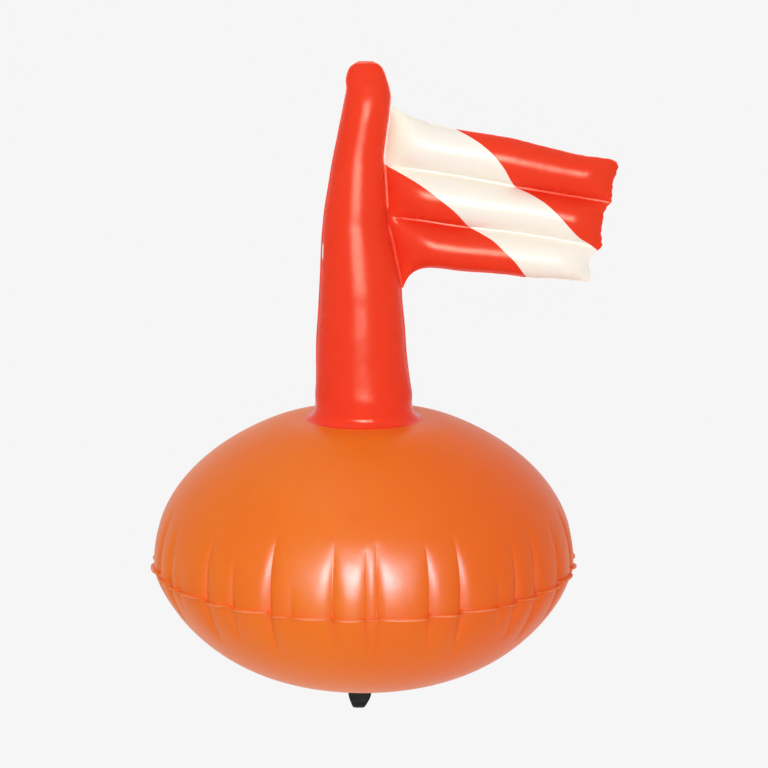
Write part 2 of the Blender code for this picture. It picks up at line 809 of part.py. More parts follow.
def lug_front_outline():
    """(x, z) of the tongue seen from the front: a taper with rounded tip corners."""
    eye = eye_height()
    tip = eye - LUG_TIP_RADIUS
    root = lug_seat(0.0) - LUG_FLANGE_THICKNESS / 2
    half_shoulder = LUG_WIDTH / 2
    centre = (LUG_TIP_WIDTH / 2 - LUG_CORNER_RADIUS, tip + LUG_CORNER_RADIUS)
    right = arc(centre, LUG_CORNER_RADIUS, LUG_CORNER_START, LUG_CORNER_END, LUG_CORNER_STEPS)
    right += [(half_shoulder, eye + LUG_SHOULDER_RISE), (half_shoulder, root)]
    return right + [(-x, z) for x, z in reversed(right)]


def lug_side_outline():
    """(y, z) of the tongue seen from the side: straight flanks down to a round end about the eye."""
    eye = eye_height()
    root = lug_seat(0.0) - LUG_FLANGE_THICKNESS / 2
    half_root = LUG_ROOT_DEPTH / 2
    round_end = arc((0.0, eye), LUG_TIP_RADIUS, -180, 0, LUG_END_STEPS)
    return [(-half_root, root)] + round_end + [(half_root, root)]


def line_lug(collection, cutters, frame, material):
    """The moulded lug: a welded flange and a tapered tongue with the line eye through it along X."""
    tongue = Matrix.Translation((-LUG_SIDESTEP, 0.0, 0.0))
    side = prism_mesh("line_lug", lug_side_outline(), LUG_ROOT_DEPTH)
    side.transform(tongue @ Matrix.Rotation(math.pi / 2, 4, "Z"))
    obj = object_of("line_lug", side, collection, material)
    front = object_of("lug_front", prism_mesh("lug_front", lug_front_outline(), LUG_ROOT_DEPTH), cutters)
    front.data.transform(tongue)
    rim = LUG_FLANGE_RADIUS
    lip = lug_seat(rim) - LUG_FLANGE_THICKNESS / 2
    low = lug_seat(0.0) - LUG_FLANGE_THICKNESS
    top = [(r, lug_seat(r)) for r in patch_radii() if r < rim] + [(rim, lug_seat(rim))]
    profile = top + [(rim, lip), (rim - LUG_FLANGE_THICKNESS, low), (0.0, low)]
    flange = turned("lug_flange", profile, LUG_SEGMENTS, cutters, closed=False)
    eye = object_of("lug_eye", mesh_of("lug_eye", eye_bore), cutters)
    for cutter, operation in ((front, "INTERSECT"), (flange, "UNION"), (eye, "DIFFERENCE")):
        attach(as_cutter(cutter), frame)
        boolean(obj, operation, cutter)
    attach(obj, frame)
    return obj


def eye_bore(bm):
    """A cylinder along X through the line eye."""
    turn = Matrix.Translation((-LUG_SIDESTEP, 0.0, eye_height())) @ Matrix.Rotation(math.pi / 2, 4, "Y")
    depth = 2 * LUG_ROOT_DEPTH
    radius = LUG_EYE_RADIUS
    bmesh.ops.create_cone(
        bm, cap_ends=True, segments=VALVE_SEGMENTS, radius1=radius, radius2=radius, depth=depth, matrix=turn
    )


def ballast_floor(radius):
    """Height of the lower panel's inner face, with the clearance above it."""
    return belly_height(radius) + BALL_FILM + GAP


def ballast_weight(collection, frame, material):
    """A flat disc that lies in the bottom of the ball."""
    low = ballast_floor(BALLAST_RADIUS) + GAP
    top = low + BALLAST_THICKNESS
    profile = [
        (0.0, top),
        (BALLAST_RADIUS - BALLAST_EDGE, top),
        (BALLAST_RADIUS, top - BALLAST_EDGE),
        (BALLAST_RADIUS, low + BALLAST_EDGE),
        (BALLAST_RADIUS - BALLAST_EDGE, low),
        (0.0, low),
    ]
    obj = turned("ballast_weight", profile, BALLAST_SEGMENTS, collection, material, closed=False)
    attach(obj, frame)
    return obj


def ballast_pocket(collection, frame, material):
    """The film over the ballast, welded to the inside of the lower panel round its rim."""
    wall = BALLAST_RADIUS + GAP
    roof = ballast_floor(BALLAST_RADIUS) + GAP + BALLAST_THICKNESS + GAP
    rim = wall + POCKET_RIM
    inner = [(0.0, roof), (wall, roof), (wall, ballast_floor(wall)), (rim, ballast_floor(rim))]
    outer = [
        (rim, ballast_floor(rim) + POCKET_FILM),
        (wall + POCKET_FILM, ballast_floor(wall) + POCKET_FILM),
        (wall + POCKET_FILM, roof + POCKET_FILM),
        (0.0, roof + POCKET_FILM),
    ]
    profile = (inner + outer)[::-1]
    obj = turned("ballast_pocket", profile, BALLAST_SEGMENTS, collection, material, closed=False)
    attach(obj, frame)
    return obj


def main():
    clear_scene()
    buoy = new_collection("DiveBuoy")
    cutters = new_collection("Cutters")
    orange = new_material("BallOrange", BALL_ORANGE, 0.35)
    red = new_material("SignalRed", SIGNAL_RED, 0.32)
    white = new_material("StripeWhite", WARM_WHITE, 0.35)
    black = new_material("ValveBlack", VALVE_BLACK, 0.25)
    lead = new_material("Lead", LEAD_GREY, 0.5, 1.0)

    ball = new_empty("BallFrame", buoy, Matrix.Translation((LUG_SIDESTEP, 0.0, -eye_height())))
    valve = new_empty("ValveFrame", buoy, valve_matrix(), ball)
    hinge = new_empty("FlagHinge", buoy, hinge_matrix(), ball)
    to_hinge = hinge_matrix().inverted()
    bpy.context.view_layer.update()

    parts = [
        upper_panel(buoy, cutters, ball, valve, orange),
        lower_panel(buoy, ball, orange),
        mast_collar(buoy, ball, red),
        mast_panel("mast_front_panel", -1, buoy, ball, red),
        mast_panel("mast_back_panel", 1, buoy, ball, red),
        flag_panel("flag_front_panel", -1, buoy, hinge, to_hinge, red),
        flag_panel("flag_back_panel", 1, buoy, hinge, to_hinge, red),
        valve_body(buoy, valve, black),
        valve_flap(buoy, valve, black),
        valve_plug(buoy, valve, black),
        plug_tether(buoy, valve, black),
        bottom_patch(buoy, ball, orange),
        line_lug(buoy, cutters, ball, black),
        ballast_weight(buoy, ball, lead),
        ballast_pocket(buoy, ball, orange),
    ]
    stripe = stripe_cutter(cutters, ball)
    parts.append(flag_stripe("stripe_front", -1, buoy, hinge, to_hinge, stripe, white))
    parts.append(flag_stripe("stripe_back", 1, buoy, hinge, to_hinge, stripe, white))
    for part in parts:
        shade(part)


if __name__ == "__main__":
    main()
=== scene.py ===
"""Dresses the inflatable signal buoy: welded film ball, air-filled mast and flag, valve, lug and studio.

Metres. The ball, mast and flag are worked out in the ball's own frame, whose origin is the middle of the
welded seam, with the mast along +Z and the flag's free end towards +X. BALL_ORIGIN moves them into the
frame of the part, whose origin is the centre of the line eye.
"""

import logging
import math
from dataclasses import dataclass, replace
from enum import Enum
from typing import Callable, Sequence

import bmesh
import bpy
import numpy as np
from mathutils import Matrix, Vector

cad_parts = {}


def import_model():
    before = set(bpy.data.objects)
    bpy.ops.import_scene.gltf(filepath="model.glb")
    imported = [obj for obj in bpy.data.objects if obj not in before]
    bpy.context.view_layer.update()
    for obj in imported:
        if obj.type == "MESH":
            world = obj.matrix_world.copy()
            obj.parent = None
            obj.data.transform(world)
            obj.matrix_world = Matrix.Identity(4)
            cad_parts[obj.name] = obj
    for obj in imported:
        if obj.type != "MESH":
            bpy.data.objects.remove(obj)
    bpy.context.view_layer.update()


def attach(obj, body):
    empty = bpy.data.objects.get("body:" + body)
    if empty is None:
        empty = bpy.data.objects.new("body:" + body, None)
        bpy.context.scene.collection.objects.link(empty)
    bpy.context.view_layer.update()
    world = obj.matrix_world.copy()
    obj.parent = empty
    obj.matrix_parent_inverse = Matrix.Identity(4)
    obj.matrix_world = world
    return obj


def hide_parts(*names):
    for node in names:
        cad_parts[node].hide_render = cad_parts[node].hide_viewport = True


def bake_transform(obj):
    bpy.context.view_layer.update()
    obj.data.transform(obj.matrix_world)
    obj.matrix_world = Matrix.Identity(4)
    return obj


log = logging.getLogger("dive_buoy")

Place = Callable[[np.ndarray, np.ndarray], np.ndarray]
Colour = tuple[float, float, float]

BALL_ORIGIN = np.array((0.0042, 0.0, 0.1277))
BALL_SEAT = Matrix.Translation(BALL_ORIGIN)
VALVE_SEAT = Matrix(
    (
        (1.0, 0.0, 0.0, 0.0042),
        (0.0, 0.739606, 0.67304, 0.152),
        (0.0, -0.67304, 0.739606, 0.208951),
        (0.0, 0.0, 0.0, 1.0),
    )
)
CAMERA_PLACE = (0.022107, -2.282428, 0.758529)
CAMERA_TILT = 78.363
CAMERA_LENS = 123.97
SENSOR_WIDTH = 36.0
# Clearance between pieces that don't touch, and between the two films of a weld
GAP = 0.0003
SEAL = 0.00004
# Points closer than this are one point
SAME_POINT = 0.000002
# How many waves make up an uneven surface, and the shortest one as a share of the longest
WAVE_COUNT = 9
SHORTEST_WAVE = 0.45
# Patterns of the mast's films (plus its side), the flag's films, its fly's edge and its long edges
MAST_SEED = 11
FLAG_SEED = 23
FLY_SEED = 31
EDGE_SEED = 37
QUARTER_TURN = math.pi / 2
FULL_TURN = 2 * math.pi


class Body(Enum):
    """The bodies that pieces ride on."""

    BUOY = "buoy"
    FLAG = "flag"
    PLUG = "plug"
    FLAP = "flap"


class Slot(Enum):
    """The record's material slots."""

    BALL_FILM = "ball_film"
    SIGNAL_FILM = "signal_film"
    STRIPE_FILM = "stripe_film"
    BLACK_MOULDING = "black_moulding"
    BALLAST = "ballast"


class Side(Enum):
    """The front and back of the mast and flag, as their direction along Y."""

    FRONT = -1
    BACK = 1

    @property
    def outward(self) -> Vector:
        """The way that this side looks."""
        return Vector((0.0, self.value, 0.0))


class Half(Enum):
    """The two halves of the ball, as their direction along Z."""

    UPPER = 1
    LOWER = -1


@dataclass(frozen=True)
class SmoothLine:
    """A smooth curve through (position, value) points with rising positions, by cubic Hermite."""

    points: tuple[tuple[float, float], ...]

    def at(self, where: np.ndarray | float) -> np.ndarray:
        """Reads the curve.

        Args:
            where: Positions, held to the curve's own range.

        Returns:
            The values there.
        """
        x, y = np.array(self.points).T
        slope = np.empty_like(x)
        slope[1:-1] = (y[2:] - y[:-2]) / (x[2:] - x[:-2])
        slope[0] = (y[1] - y[0]) / (x[1] - x[0])
        slope[-1] = (y[-1] - y[-2]) / (x[-1] - x[-2])
        at = np.clip(where, x[0], x[-1])
        k = np.clip(np.searchsorted(x, at, side="right") - 1, 0, len(x) - 2)
        span = x[k + 1] - x[k]
        s = (at - x[k]) / span
        start = (2 * s**3 - 3 * s**2 + 1) * y[k] + (s**3 - 2 * s**2 + s) * span * slope[k]
        end = (3 * s**2 - 2 * s**3) * y[k + 1] + (s**3 - s**2) * span * slope[k + 1]
        return start + end


def share_of(value: np.ndarray) -> np.ndarray:
    """Holds values to the range from 0 to 1."""
    return np.clip(value, 0.0, 1.0)


def fade(value: np.ndarray, start: float, end: float) -> np.ndarray:
    """Goes smoothly from 0 to 1.

    Args:
        value: The values to read.
        start: Where the result is still 0.
        end: Where it reaches 1.

    Returns:
        The share from 0 to 1, with soft ends.
    """
    s = share_of((value - start) / (end - start))
    return s * s * (3 - 2 * s)


def waves(a: np.ndarray, b: np.ndarray, seed: int, longest: float) -> np.ndarray:
    """Slow uneven hills over two directions, the same on every run.

    Args:
        a: Positions in the first direction, in metres.
        b: Positions in the second direction.
        seed: Number that picks the pattern.
        longest: Length of the longest wave.

    Returns:
        Heights of about -1 to 1.
    """
    rng = np.random.default_rng(seed)
    total = np.zeros(np.broadcast(a, b).shape)
    for _ in range(WAVE_COUNT):
        turn, start = rng.uniform(0.0, FULL_TURN, 2)
        length = longest * rng.uniform(SHORTEST_WAVE, 1.0)
        total += np.sin(FULL_TURN * (a * math.cos(turn) + b * math.sin(turn)) / length + start)
    return total / math.sqrt(WAVE_COUNT)


def stations(columns: np.ndarray, rows: np.ndarray) -> tuple[np.ndarray, np.ndarray]:
    """Lists a grid's stations, row by row.

    Args:
        columns: Stations along the grid's first direction.
        rows: Stations along its second direction.

    Returns:
        The first and the second station of every point.
    """
    u, v = np.meshgrid(columns, rows)
    return u.ravel(), v.ravel()


def runs(*parts: tuple[float, float, int]) -> np.ndarray:
    """Joins even runs of stations that share their ends.

    Args:
        *parts: Start, end and number of stations of each run, the shared one included.

    Returns:
        All stations, each shared one once.
    """
    first, *others = (np.linspace(*part) for part in parts)
    return np.concatenate([first] + [run[1:] for run in others])


class Piece:
    """One mesh piece on the bench, started from a primitive and shaped in edit mode."""

    def __init__(self, name: str) -> None:
        """Takes the primitive that was just added.

        Args:
            name: The piece's own name.
        """
        self.obj: bpy.types.Object = bpy.context.object
        self.obj.name = name
        self.obj.data.name = name

    @staticmethod
    def clear_bench() -> None:
        """Leaves edit mode and deselects everything, so that a tool acts on one piece only."""
        if bpy.context.object and bpy.context.object.mode != "OBJECT":
            bpy.ops.object.mode_set(mode="OBJECT")
        bpy.ops.object.select_all(action="DESELECT")

    @classmethod
    def cylinder(cls, name: str, radius: float, low: float, high: float, sides: int) -> "Piece":
        """Adds a capped cylinder on the Z axis.

        Args:
            name: The piece's name.
            radius: Its radius.
            low: Height of its lower face.
            high: Height of its upper face.
            sides: Number of sides.

        Returns:
            The new piece.
        """
        cls.clear_bench()
        bpy.ops.mesh.primitive_cylinder_add(
            vertices=sides, radius=radius, depth=high - low, location=(0.0, 0.0, (low + high) / 2)
        )
        bpy.ops.object.transform_apply(location=True, rotation=True, scale=True)
        return cls(name)

    @classmethod
    def film(cls, name: str, columns: np.ndarray, rows: np.ndarray, place: Place) -> "Piece":
        """Lays a grid primitive over a surface.

        Args:
            name: The piece's name.
            columns: Stations along the grid's first direction.
            rows: Stations along its second direction.
            place: Gives the point, in metres, for each pair of stations.

        Returns:
            The new open film.
        """
        cls.clear_bench()
        bpy.ops.mesh.primitive_grid_add(x_subdivisions=len(columns) - 1, y_subdivisions=len(rows) - 1)
        piece = cls(name)
        piece.points = place(*stations(columns, rows))
        return piece

    @classmethod
    def lathe(cls, name: str, sides: int, rows: np.ndarray, place: Place) -> "Piece":
        """Rolls a grid primitive into a round shape and welds its joint and poles.

        Args:
            name: The piece's name.
            sides: Number of columns round the shape.
            rows: Stations along its profile.
            place: Gives the point for each turn in radians and profile station.

        Returns:
            The new piece, with its faces outward where it is closed.
        """
        piece = cls.film(name, np.linspace(0.0, FULL_TURN, sides + 1), rows, place)
        piece.weld()
        return piece

    @property
    def points(self) -> np.ndarray:
        """The piece's points, one row each."""
        data = np.empty(len(self.obj.data.vertices) * 3)
        self.obj.data.vertices.foreach_get("co", data)
        return data.reshape(-1, 3)

    @points.setter
    def points(self, points: np.ndarray) -> None:
        """Moves the piece's points."""
        self.obj.data.vertices.foreach_set("co", np.ascontiguousarray(points).ravel())
        self.obj.data.update()

    def _take(self) -> None:
        """Makes the piece the only one that tools act on."""
        self.clear_bench()
        bpy.context.view_layer.objects.active = self.obj
        self.obj.select_set(True)

    def edit(self) -> None:
        """Opens the piece in edit mode, alone, with all of it selected."""
        self._take()
        bpy.ops.object.mode_set(mode="EDIT")
        bpy.ops.mesh.select_all(action="SELECT")

    def done(self) -> None:
        """Closes edit mode."""
        bpy.ops.object.mode_set(mode="OBJECT")

    def pick_faces(self, test: Callable[[Vector], bool]) -> None:
        """Selects faces by place, in edit mode.

        Args:
            test: Says of the middle of a face whether the face is wanted.
        """
        bpy.context.tool_settings.mesh_select_mode = (False, False, True)
        bpy.ops.mesh.select_all(action="DESELECT")
        mesh = bmesh.from_edit_mesh(self.obj.data)
        for face in mesh.faces:
            face.select_set(test(face.calc_center_median()))
        mesh.select_flush_mode()
        bmesh.update_edit_mesh(self.obj.data)

    def weld(self) -> None:
        """Merges points that lie on each other and turns the faces outward."""
        self.edit()
        bpy.ops.mesh.remove_doubles(threshold=SAME_POINT)
        bpy.ops.mesh.normals_make_consistent(inside=False)
        self.done()

    def face_along(self, direction: Vector) -> None:
        """Turns an open film's faces so that most of them look along the direction.

        Args:
            direction: The way that the outer face looks.
        """
        mean = sum((p.normal * p.area for p in self.obj.data.polygons), Vector())
        if mean.dot(direction) < 0:
            self.edit()
            bpy.ops.mesh.flip_normals()
            self.done()

    def modify(self, kind: str, **settings: object) -> None:
        """Adds a modifier and applies it.

        Args:
            kind: Its type.
            **settings: Its own properties.
        """
        modifier = self.obj.modifiers.new(kind, kind)
        for name, value in settings.items():
            setattr(modifier, name, value)
        self._take()
        bpy.ops.object.modifier_apply(modifier=modifier.name)

    def thicken(self, thickness: float) -> None:
        """Gives an open film its wall, inward from its outer face.

        Args:
            thickness: The film's thickness.
        """
        self.modify(
            "SOLIDIFY", thickness=thickness, offset=-1.0, use_even_offset=False, use_quality_normals=True
        )

    def bevel(self, width: float, segments: int = 2, angle: float = 30.0) -> None:
        """Rounds the piece's edges.

        Args:
            width: Width of the rounding.
            segments: Number of faces across it.
            angle: Smallest angle in degrees that is rounded.
        """
        limit = math.radians(angle)
        self.modify("BEVEL", width=width, segments=segments, limit_method="ANGLE", angle_limit=limit)

    def drill(self, cutter: "Piece") -> None:
        """Cuts the cutter out of the piece and throws the cutter away.

        Args:
            cutter: A closed piece.
        """
        self.modify("BOOLEAN", operation="DIFFERENCE", solver="EXACT", object=cutter.obj)
        bpy.data.objects.remove(cutter.obj, do_unlink=True)

    def settle(self, matrix: Matrix = BALL_SEAT) -> None:
        """Puts the piece at its place and writes the place into the mesh.

        Args:
            matrix: The place, which is the ball's frame if none is given.
        """
        self._take()
        self.obj.matrix_world = matrix
        bpy.ops.object.transform_apply(location=True, rotation=True, scale=True)

    def smooth(self, angle: float) -> None:
        """Shades the piece smooth but for sharp edges.

        Args:
            angle: Steepest angle in degrees that is still smooth.
        """
        self._take()
        bpy.ops.object.shade_smooth_by_angle(angle=math.radians(angle))

    def paint(self, name: str, values: np.ndarray) -> None:
        """Writes one number per point for the material to read.

        Args:
            name: The attribute's name.
            values: A value for each point.
        """
        layer = self.obj.data.attributes.new(name, "FLOAT", "POINT")
        layer.data.foreach_set("value", np.asarray(values, dtype=np.float32))

    def finish(
        self, material: bpy.types.Material, slot: Slot, body: Body | None, replaces: Sequence[str]
    ) -> None:
        """Dresses the piece and fastens it to its body.

        Args:
            material: Its material.
            slot: The record's slot that it belongs to; not used.
            body: The body that it rides on, or None, which leaves it unfastened.
            replaces: The nodes that it stands for.
        """
        self.obj.data.materials.clear()
        self.obj.data.materials.append(material)
        if body is not None:
            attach(self.obj, body.value)
        if replaces:
            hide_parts(*replaces)
        log.info("%s: %d points", self.obj.name, len(self.obj.data.vertices))


class Nodes:
    """A small hand for laying out shader nodes."""

    def __init__(self, tree: bpy.types.NodeTree) -> None:
        """Works in the tree.

        Args:
            tree: A material's or a group's node tree.
        """
        self.tree = tree

    def add(self, kind: str, **settings: object) -> bpy.types.Node:
        """Adds a node.

        Args:
            kind: Its type.
            **settings: Its own properties.

        Returns:
            The node.
        """
        node = self.tree.nodes.new(kind)
        for name, value in settings.items():
            setattr(node, name, value)
        return node

    def put(self, socket: bpy.types.NodeSocket, value: object) -> None:
        """Links another socket to this one, or sets its value.

        Args:
            socket: The input.
            value: A socket or a plain value.
        """
        if isinstance(value, bpy.types.NodeSocket):
            self.tree.links.new(value, socket)
        else:
            socket.default_value = value

    def math(self, operation: str, a: object, b: object) -> bpy.types.NodeSocket:
        """Adds a Math node.

        Args:
            operation: What it does.
            a: Its first input.
            b: Its second input.

        Returns:
            Its result.
        """
        node = self.add("ShaderNodeMath", operation=operation)
        self.put(node.inputs[0], a)
        self.put(node.inputs[1], b)
        return node.outputs[0]

    def mix(self, share: object, a: object, b: object) -> bpy.types.NodeSocket:
        """Mixes two colours.

        Args:
            share: How much of the second one shows.
            a: The first colour.
            b: The second colour.

        Returns:
            The mixed colour.
        """
        node = self.add("ShaderNodeMix", data_type="RGBA")
        self.put(node.inputs["Factor"], share)
        self.put(node.inputs[6], a)
        self.put(node.inputs[7], b)
        return node.outputs[2]

    def noise(
        self, vector: object, scale: float, detail: float, roughness: float = 0.5
    ) -> bpy.types.NodeSocket:
        """Adds noise around 0.5.

        Args:
            vector: Where it is read.
            scale: Its scale.
            detail: Its number of octaves.
            roughness: How strong the fine octaves are.

        Returns:
            Its value.
        """
        node = self.add("ShaderNodeTexNoise")
        names = ("Vector", "Scale", "Detail", "Roughness")
        for name, value in zip(names, (vector, scale, detail, roughness)):
            self.put(node.inputs[name], value)
        return node.outputs["Fac"]

    def span(
        self, value: object, low: float, high: float, to_low: float = 0.0, to_high: float = 1.0
    ) -> bpy.types.NodeSocket:
        """Maps one range to another, held at both ends.

        Args:
            value: The input.
            low: Input that gives to_low.
            high: Input that gives to_high.
            to_low: Result at low.
            to_high: Result at high.

        Returns:
            The result.
        """
        node = self.add("ShaderNodeMapRange")
        names = ("Value", "From Min", "From Max", "To Min", "To Max")
        for name, given in zip(names, (value, low, high, to_low, to_high)):
            self.put(node.inputs[name], given)
        return node.outputs["Result"]

    def bump(self, height: object, distance: float, strength: float = 1.0) -> bpy.types.NodeSocket:
        """Adds a Bump node.

        Args:
            height: The height that it reads.
            distance: How far a height of 1 stands out.
            strength: How much of that shows.

        Returns:
            The bumped normal.
        """
        node = self.add("ShaderNodeBump")
        for name, value in (("Strength", strength), ("Distance", distance), ("Height", height)):
            self.put(node.inputs[name], value)
        return node.outputs["Normal"]


def rgba(colour: Colour) -> tuple[float, float, float, float]:
    """The colour with full alpha."""
    return (*colour, 1.0)


class FilmGroup:
    """The shared look of calendered vinyl film: cloudy tone, handling haze and a faint skin of ripples."""

    NAME = "CalenderedFilm"
    INPUTS = {"Vector": "Vector", "Colour": "Color", "Deep": "Color"}
    AMOUNTS = ("Cloud", "Gloss", "Haze", "Ripple", "Grain")
    OUTPUTS = {"Colour": "Color", "Roughness": "Float", "Height": "Float"}

    @classmethod
    def tree(cls) -> bpy.types.NodeTree:
        """Builds the group once.

        Returns:
            The group, with Colour, Roughness and Height outputs.
        """
        if cls.NAME in bpy.data.node_groups:
            return bpy.data.node_groups[cls.NAME]
        tree = bpy.data.node_groups.new(cls.NAME, "ShaderNodeTree")
        inputs = {**cls.INPUTS, **dict.fromkeys(cls.AMOUNTS, "Float")}
        for direction, sockets in (("INPUT", inputs), ("OUTPUT", cls.OUTPUTS)):
            for name, kind in sockets.items():
                tree.interface.new_socket(name=name, in_out=direction, socket_type=f"NodeSocket{kind}")
        nodes = Nodes(tree)
        given = nodes.add("NodeGroupInput").outputs
        result = nodes.add("NodeGroupOutput").inputs
        vector = given["Vector"]
        clouds = nodes.span(nodes.noise(vector, scale=14.0, detail=3.0), 0.35, 0.65)
        specks = nodes.span(nodes.noise(vector, scale=260.0, detail=2.0), 0.55, 0.75)
        uneven = nodes.math("ADD", clouds, nodes.math("MULTIPLY", specks, 0.15))
        depth = nodes.math("MULTIPLY", uneven, given["Cloud"])
        nodes.put(result["Colour"], nodes.mix(depth, given["Colour"], given["Deep"]))
        smears = nodes.span(nodes.noise(vector, scale=38.0, detail=5.0, roughness=0.62), 0.40, 0.72)
        smeared = nodes.math("MULTIPLY", smears, given["Haze"])
        nodes.put(result["Roughness"], nodes.math("ADD", given["Gloss"], smeared))
        ripple = nodes.math("MULTIPLY", nodes.noise(vector, scale=90.0, detail=2.0), given["Ripple"])
        grain = nodes.math("MULTIPLY", nodes.noise(vector, scale=1500.0, detail=2.0), given["Grain"])
        nodes.put(result["Height"], nodes.math("ADD", ripple, grain))
        return tree


@dataclass(frozen=True)
class Finish:
    """What every finish shares: its material's name, and the one material that is built from it."""

    name: str

    def material(self) -> bpy.types.Material:
        """Builds the finish once.

        Returns:
            The material.
        """
        if self.name in bpy.data.materials:
            return bpy.data.materials[self.name]
        material = bpy.data.materials.new(self.name)
        material.use_nodes = True
        nodes = Nodes(material.node_tree)
        shader = material.node_tree.nodes["Principled BSDF"]
        self._lay_out(nodes, shader, nodes.add("ShaderNodeTexCoord").outputs["Object"])
        return material

    def _lay_out(self, nodes: Nodes, shader: bpy.types.Node, place: bpy.types.NodeSocket) -> None:
        """Lays out the finish's own nodes.

        Args:
            nodes: The material's tree.
            shader: Its Principled BSDF.
            place: The object's own coordinates.
        """
        raise NotImplementedError


@dataclass(frozen=True)
class VinylFinish(Finish):
    """Coloured vinyl film that carries marks painted on its mesh: painted highlights along the welds, a
    painted glint, painted shade in the creases and a painted tint that offsets bounced light.
    """

    colour: Colour
    # Tone of the clouds, and of the painted shade in the creases and on the +X side; on the stripe, of the
    # painted tint near the hoist
    deep: Colour
    # Tone of the painted highlight along the welds, where a weld mark is 1
    weld: Colour
    cloud: float
    gloss: float
    haze: float
    ior: float
    # Tone of what the film mirrors face on
    sheen: Colour
    # Painted shade: how much deeper the tone is on the +X side, towards the flag, than on the -X side, and
    # between which x it deepens
    side_shade: float = 0.0
    side_shade_span: tuple[float, float] = (-0.02, 0.14)
    ripple: float = 0.4
    grain: float = 0.12
    bump: float = 0.0006
    # How much rougher a crease is than the film beside it
    crease_haze: float = 0.6
    # Tone of a painted glint, where a weld mark goes past 1, to 2
    glint_tone: Colour = (0.93, 0.90, 0.88)

    def _lay_out(self, nodes: Nodes, shader: bpy.types.Node, place: bpy.types.NodeSocket) -> None:
        """Lays out the film's tone, gloss and ripples.

        Args:
            nodes: The material's tree.
            shader: Its Principled BSDF.
            place: The object's own coordinates.
        """
        film = nodes.add("ShaderNodeGroup", node_tree=FilmGroup.tree())
        nodes.put(film.inputs["Vector"], place)
        film.inputs["Colour"].default_value = rgba(self.colour)
        film.inputs["Deep"].default_value = rgba(self.deep)
        for name in FilmGroup.AMOUNTS:
            film.inputs[name].default_value = getattr(self, name.lower())
        painted_light_share = nodes.add("ShaderNodeAttribute", attribute_name="painted_light").outputs["Fac"]
        weld_highlight_share = nodes.add("ShaderNodeAttribute", attribute_name="weld").outputs["Fac"]
        axes = nodes.add("ShaderNodeSeparateXYZ")
        nodes.put(axes.inputs["Vector"], place)
        # Painted shade, deeper towards +X
        aside = nodes.span(axes.outputs["X"], *self.side_shade_span, 0.0, self.side_shade)
        # Painted shade in the creases, and on the stripe a painted tint near the hoist, both towards the deep
        # tone
        shaded = nodes.mix(nodes.math("MAXIMUM", painted_light_share, aside), film.outputs["Colour"], rgba(self.deep))
        # Painted highlight along the welds, and past 1 a painted glint
        marked = nodes.mix(weld_highlight_share, shaded, rgba(self.weld))
        tone = nodes.mix(nodes.span(weld_highlight_share, 1.0, 2.0), marked, rgba(self.glint_tone))
        dulled = nodes.math("MULTIPLY", painted_light_share, self.crease_haze)
        nodes.put(shader.inputs["Base Color"], tone)
        nodes.put(shader.inputs["Roughness"], nodes.math("ADD", film.outputs["Roughness"], dulled))
        nodes.put(shader.inputs["Normal"], nodes.bump(film.outputs["Height"], self.bump))
        shader.inputs["IOR"].default_value = self.ior
        shader.inputs["Specular Tint"].default_value = rgba(self.sheen)


@dataclass(frozen=True)
class MouldedFinish(Finish):
    """Soft black moulding or casting with a fine spark texture and rubbed patches."""

    colour: Colour
    rubbed: Colour
    roughness: float = 0.42
    metallic: float = 0.0
    pits: float = 0.5
    pit_depth: float = 0.0002
    scale: float = 900.0
    ior: float = 1.2

    def _lay_out(self, nodes: Nodes, shader: bpy.types.Node, place: bpy.types.NodeSocket) -> None:
        """Lays out the moulding's tone, gloss and pits.

        Args:
            nodes: The material's tree.
            shader: Its Principled BSDF.
            place: The object's own coordinates.
        """
        patches = nodes.span(nodes.noise(place, scale=120.0, detail=4.0, roughness=0.6), 0.42, 0.75)
        nodes.put(shader.inputs["Base Color"], nodes.mix(patches, rgba(self.colour), rgba(self.rubbed)))
        least, most = self.roughness - 0.06, self.roughness + 0.10
        smears = nodes.span(nodes.noise(place, scale=55.0, detail=3.0), 0.35, 0.7, least, most)
        nodes.put(shader.inputs["Roughness"], smears)
        shader.inputs["Metallic"].default_value = self.metallic
        shader.inputs["IOR"].default_value = self.ior
        pits = nodes.noise(place, scale=self.scale, detail=3.0, roughness=0.6)
        nodes.put(shader.inputs["Normal"], nodes.bump(pits, self.pit_depth, self.pits))


BALL_VINYL = VinylFinish(
    "BallOrangeVinyl",
    colour=(0.84, 0.175, 0.012),
    deep=(0.80, 0.121, 0.010),
    weld=(0.93, 0.40, 0.22),
    cloud=0.25,
    gloss=0.33,
    haze=0.05,
    ior=1.21,
    sheen=(0.85, 0.88, 1.0),
    side_shade=1.0,
)
SIGNAL_VINYL = VinylFinish(
    "SignalRedVinyl",
    colour=(0.87, 0.051, 0.019),
    deep=(0.82, 0.042, 0.016),
    weld=(0.93, 0.40, 0.25),
    cloud=0.35,
    gloss=0.25,
    haze=0.05,
    ior=1.13,
    sheen=(1.0, 0.96, 0.73),
)
MAST_VINYL = replace(SIGNAL_VINYL, name="MastRedVinyl", ior=1.103)
COLLAR_VINYL = replace(SIGNAL_VINYL, name="CollarRedVinyl", gloss=0.13, ior=1.15)
STRIPE_VINYL = VinylFinish(
    "StripeWhiteVinyl",
    colour=(0.94, 0.875, 0.785),
    deep=(0.92, 0.95, 0.76),
    weld=(0.93, 0.92, 0.92),
    cloud=0.1,
    gloss=0.32,
    haze=0.06,
    ior=1.14,
    sheen=(1.0, 0.96, 0.86),
)
BLACK_MOULDING = MouldedFinish("BlackMoulding", (0.006, 0.006, 0.006), (0.016, 0.015, 0.014))
CAST_BALLAST = MouldedFinish(
    "CastBallast",
    (0.20, 0.20, 0.21),
    (0.30, 0.30, 0.31),
    roughness=0.48,
    metallic=1.0,
    pits=0.9,
    scale=220.0,
)


@dataclass(frozen=True)
class Crease:
    """One crease that the seam gathers in the film: its angle from the front towards +X, and its size."""

    angle: float
    depth: float
    rise: float
    fall: float


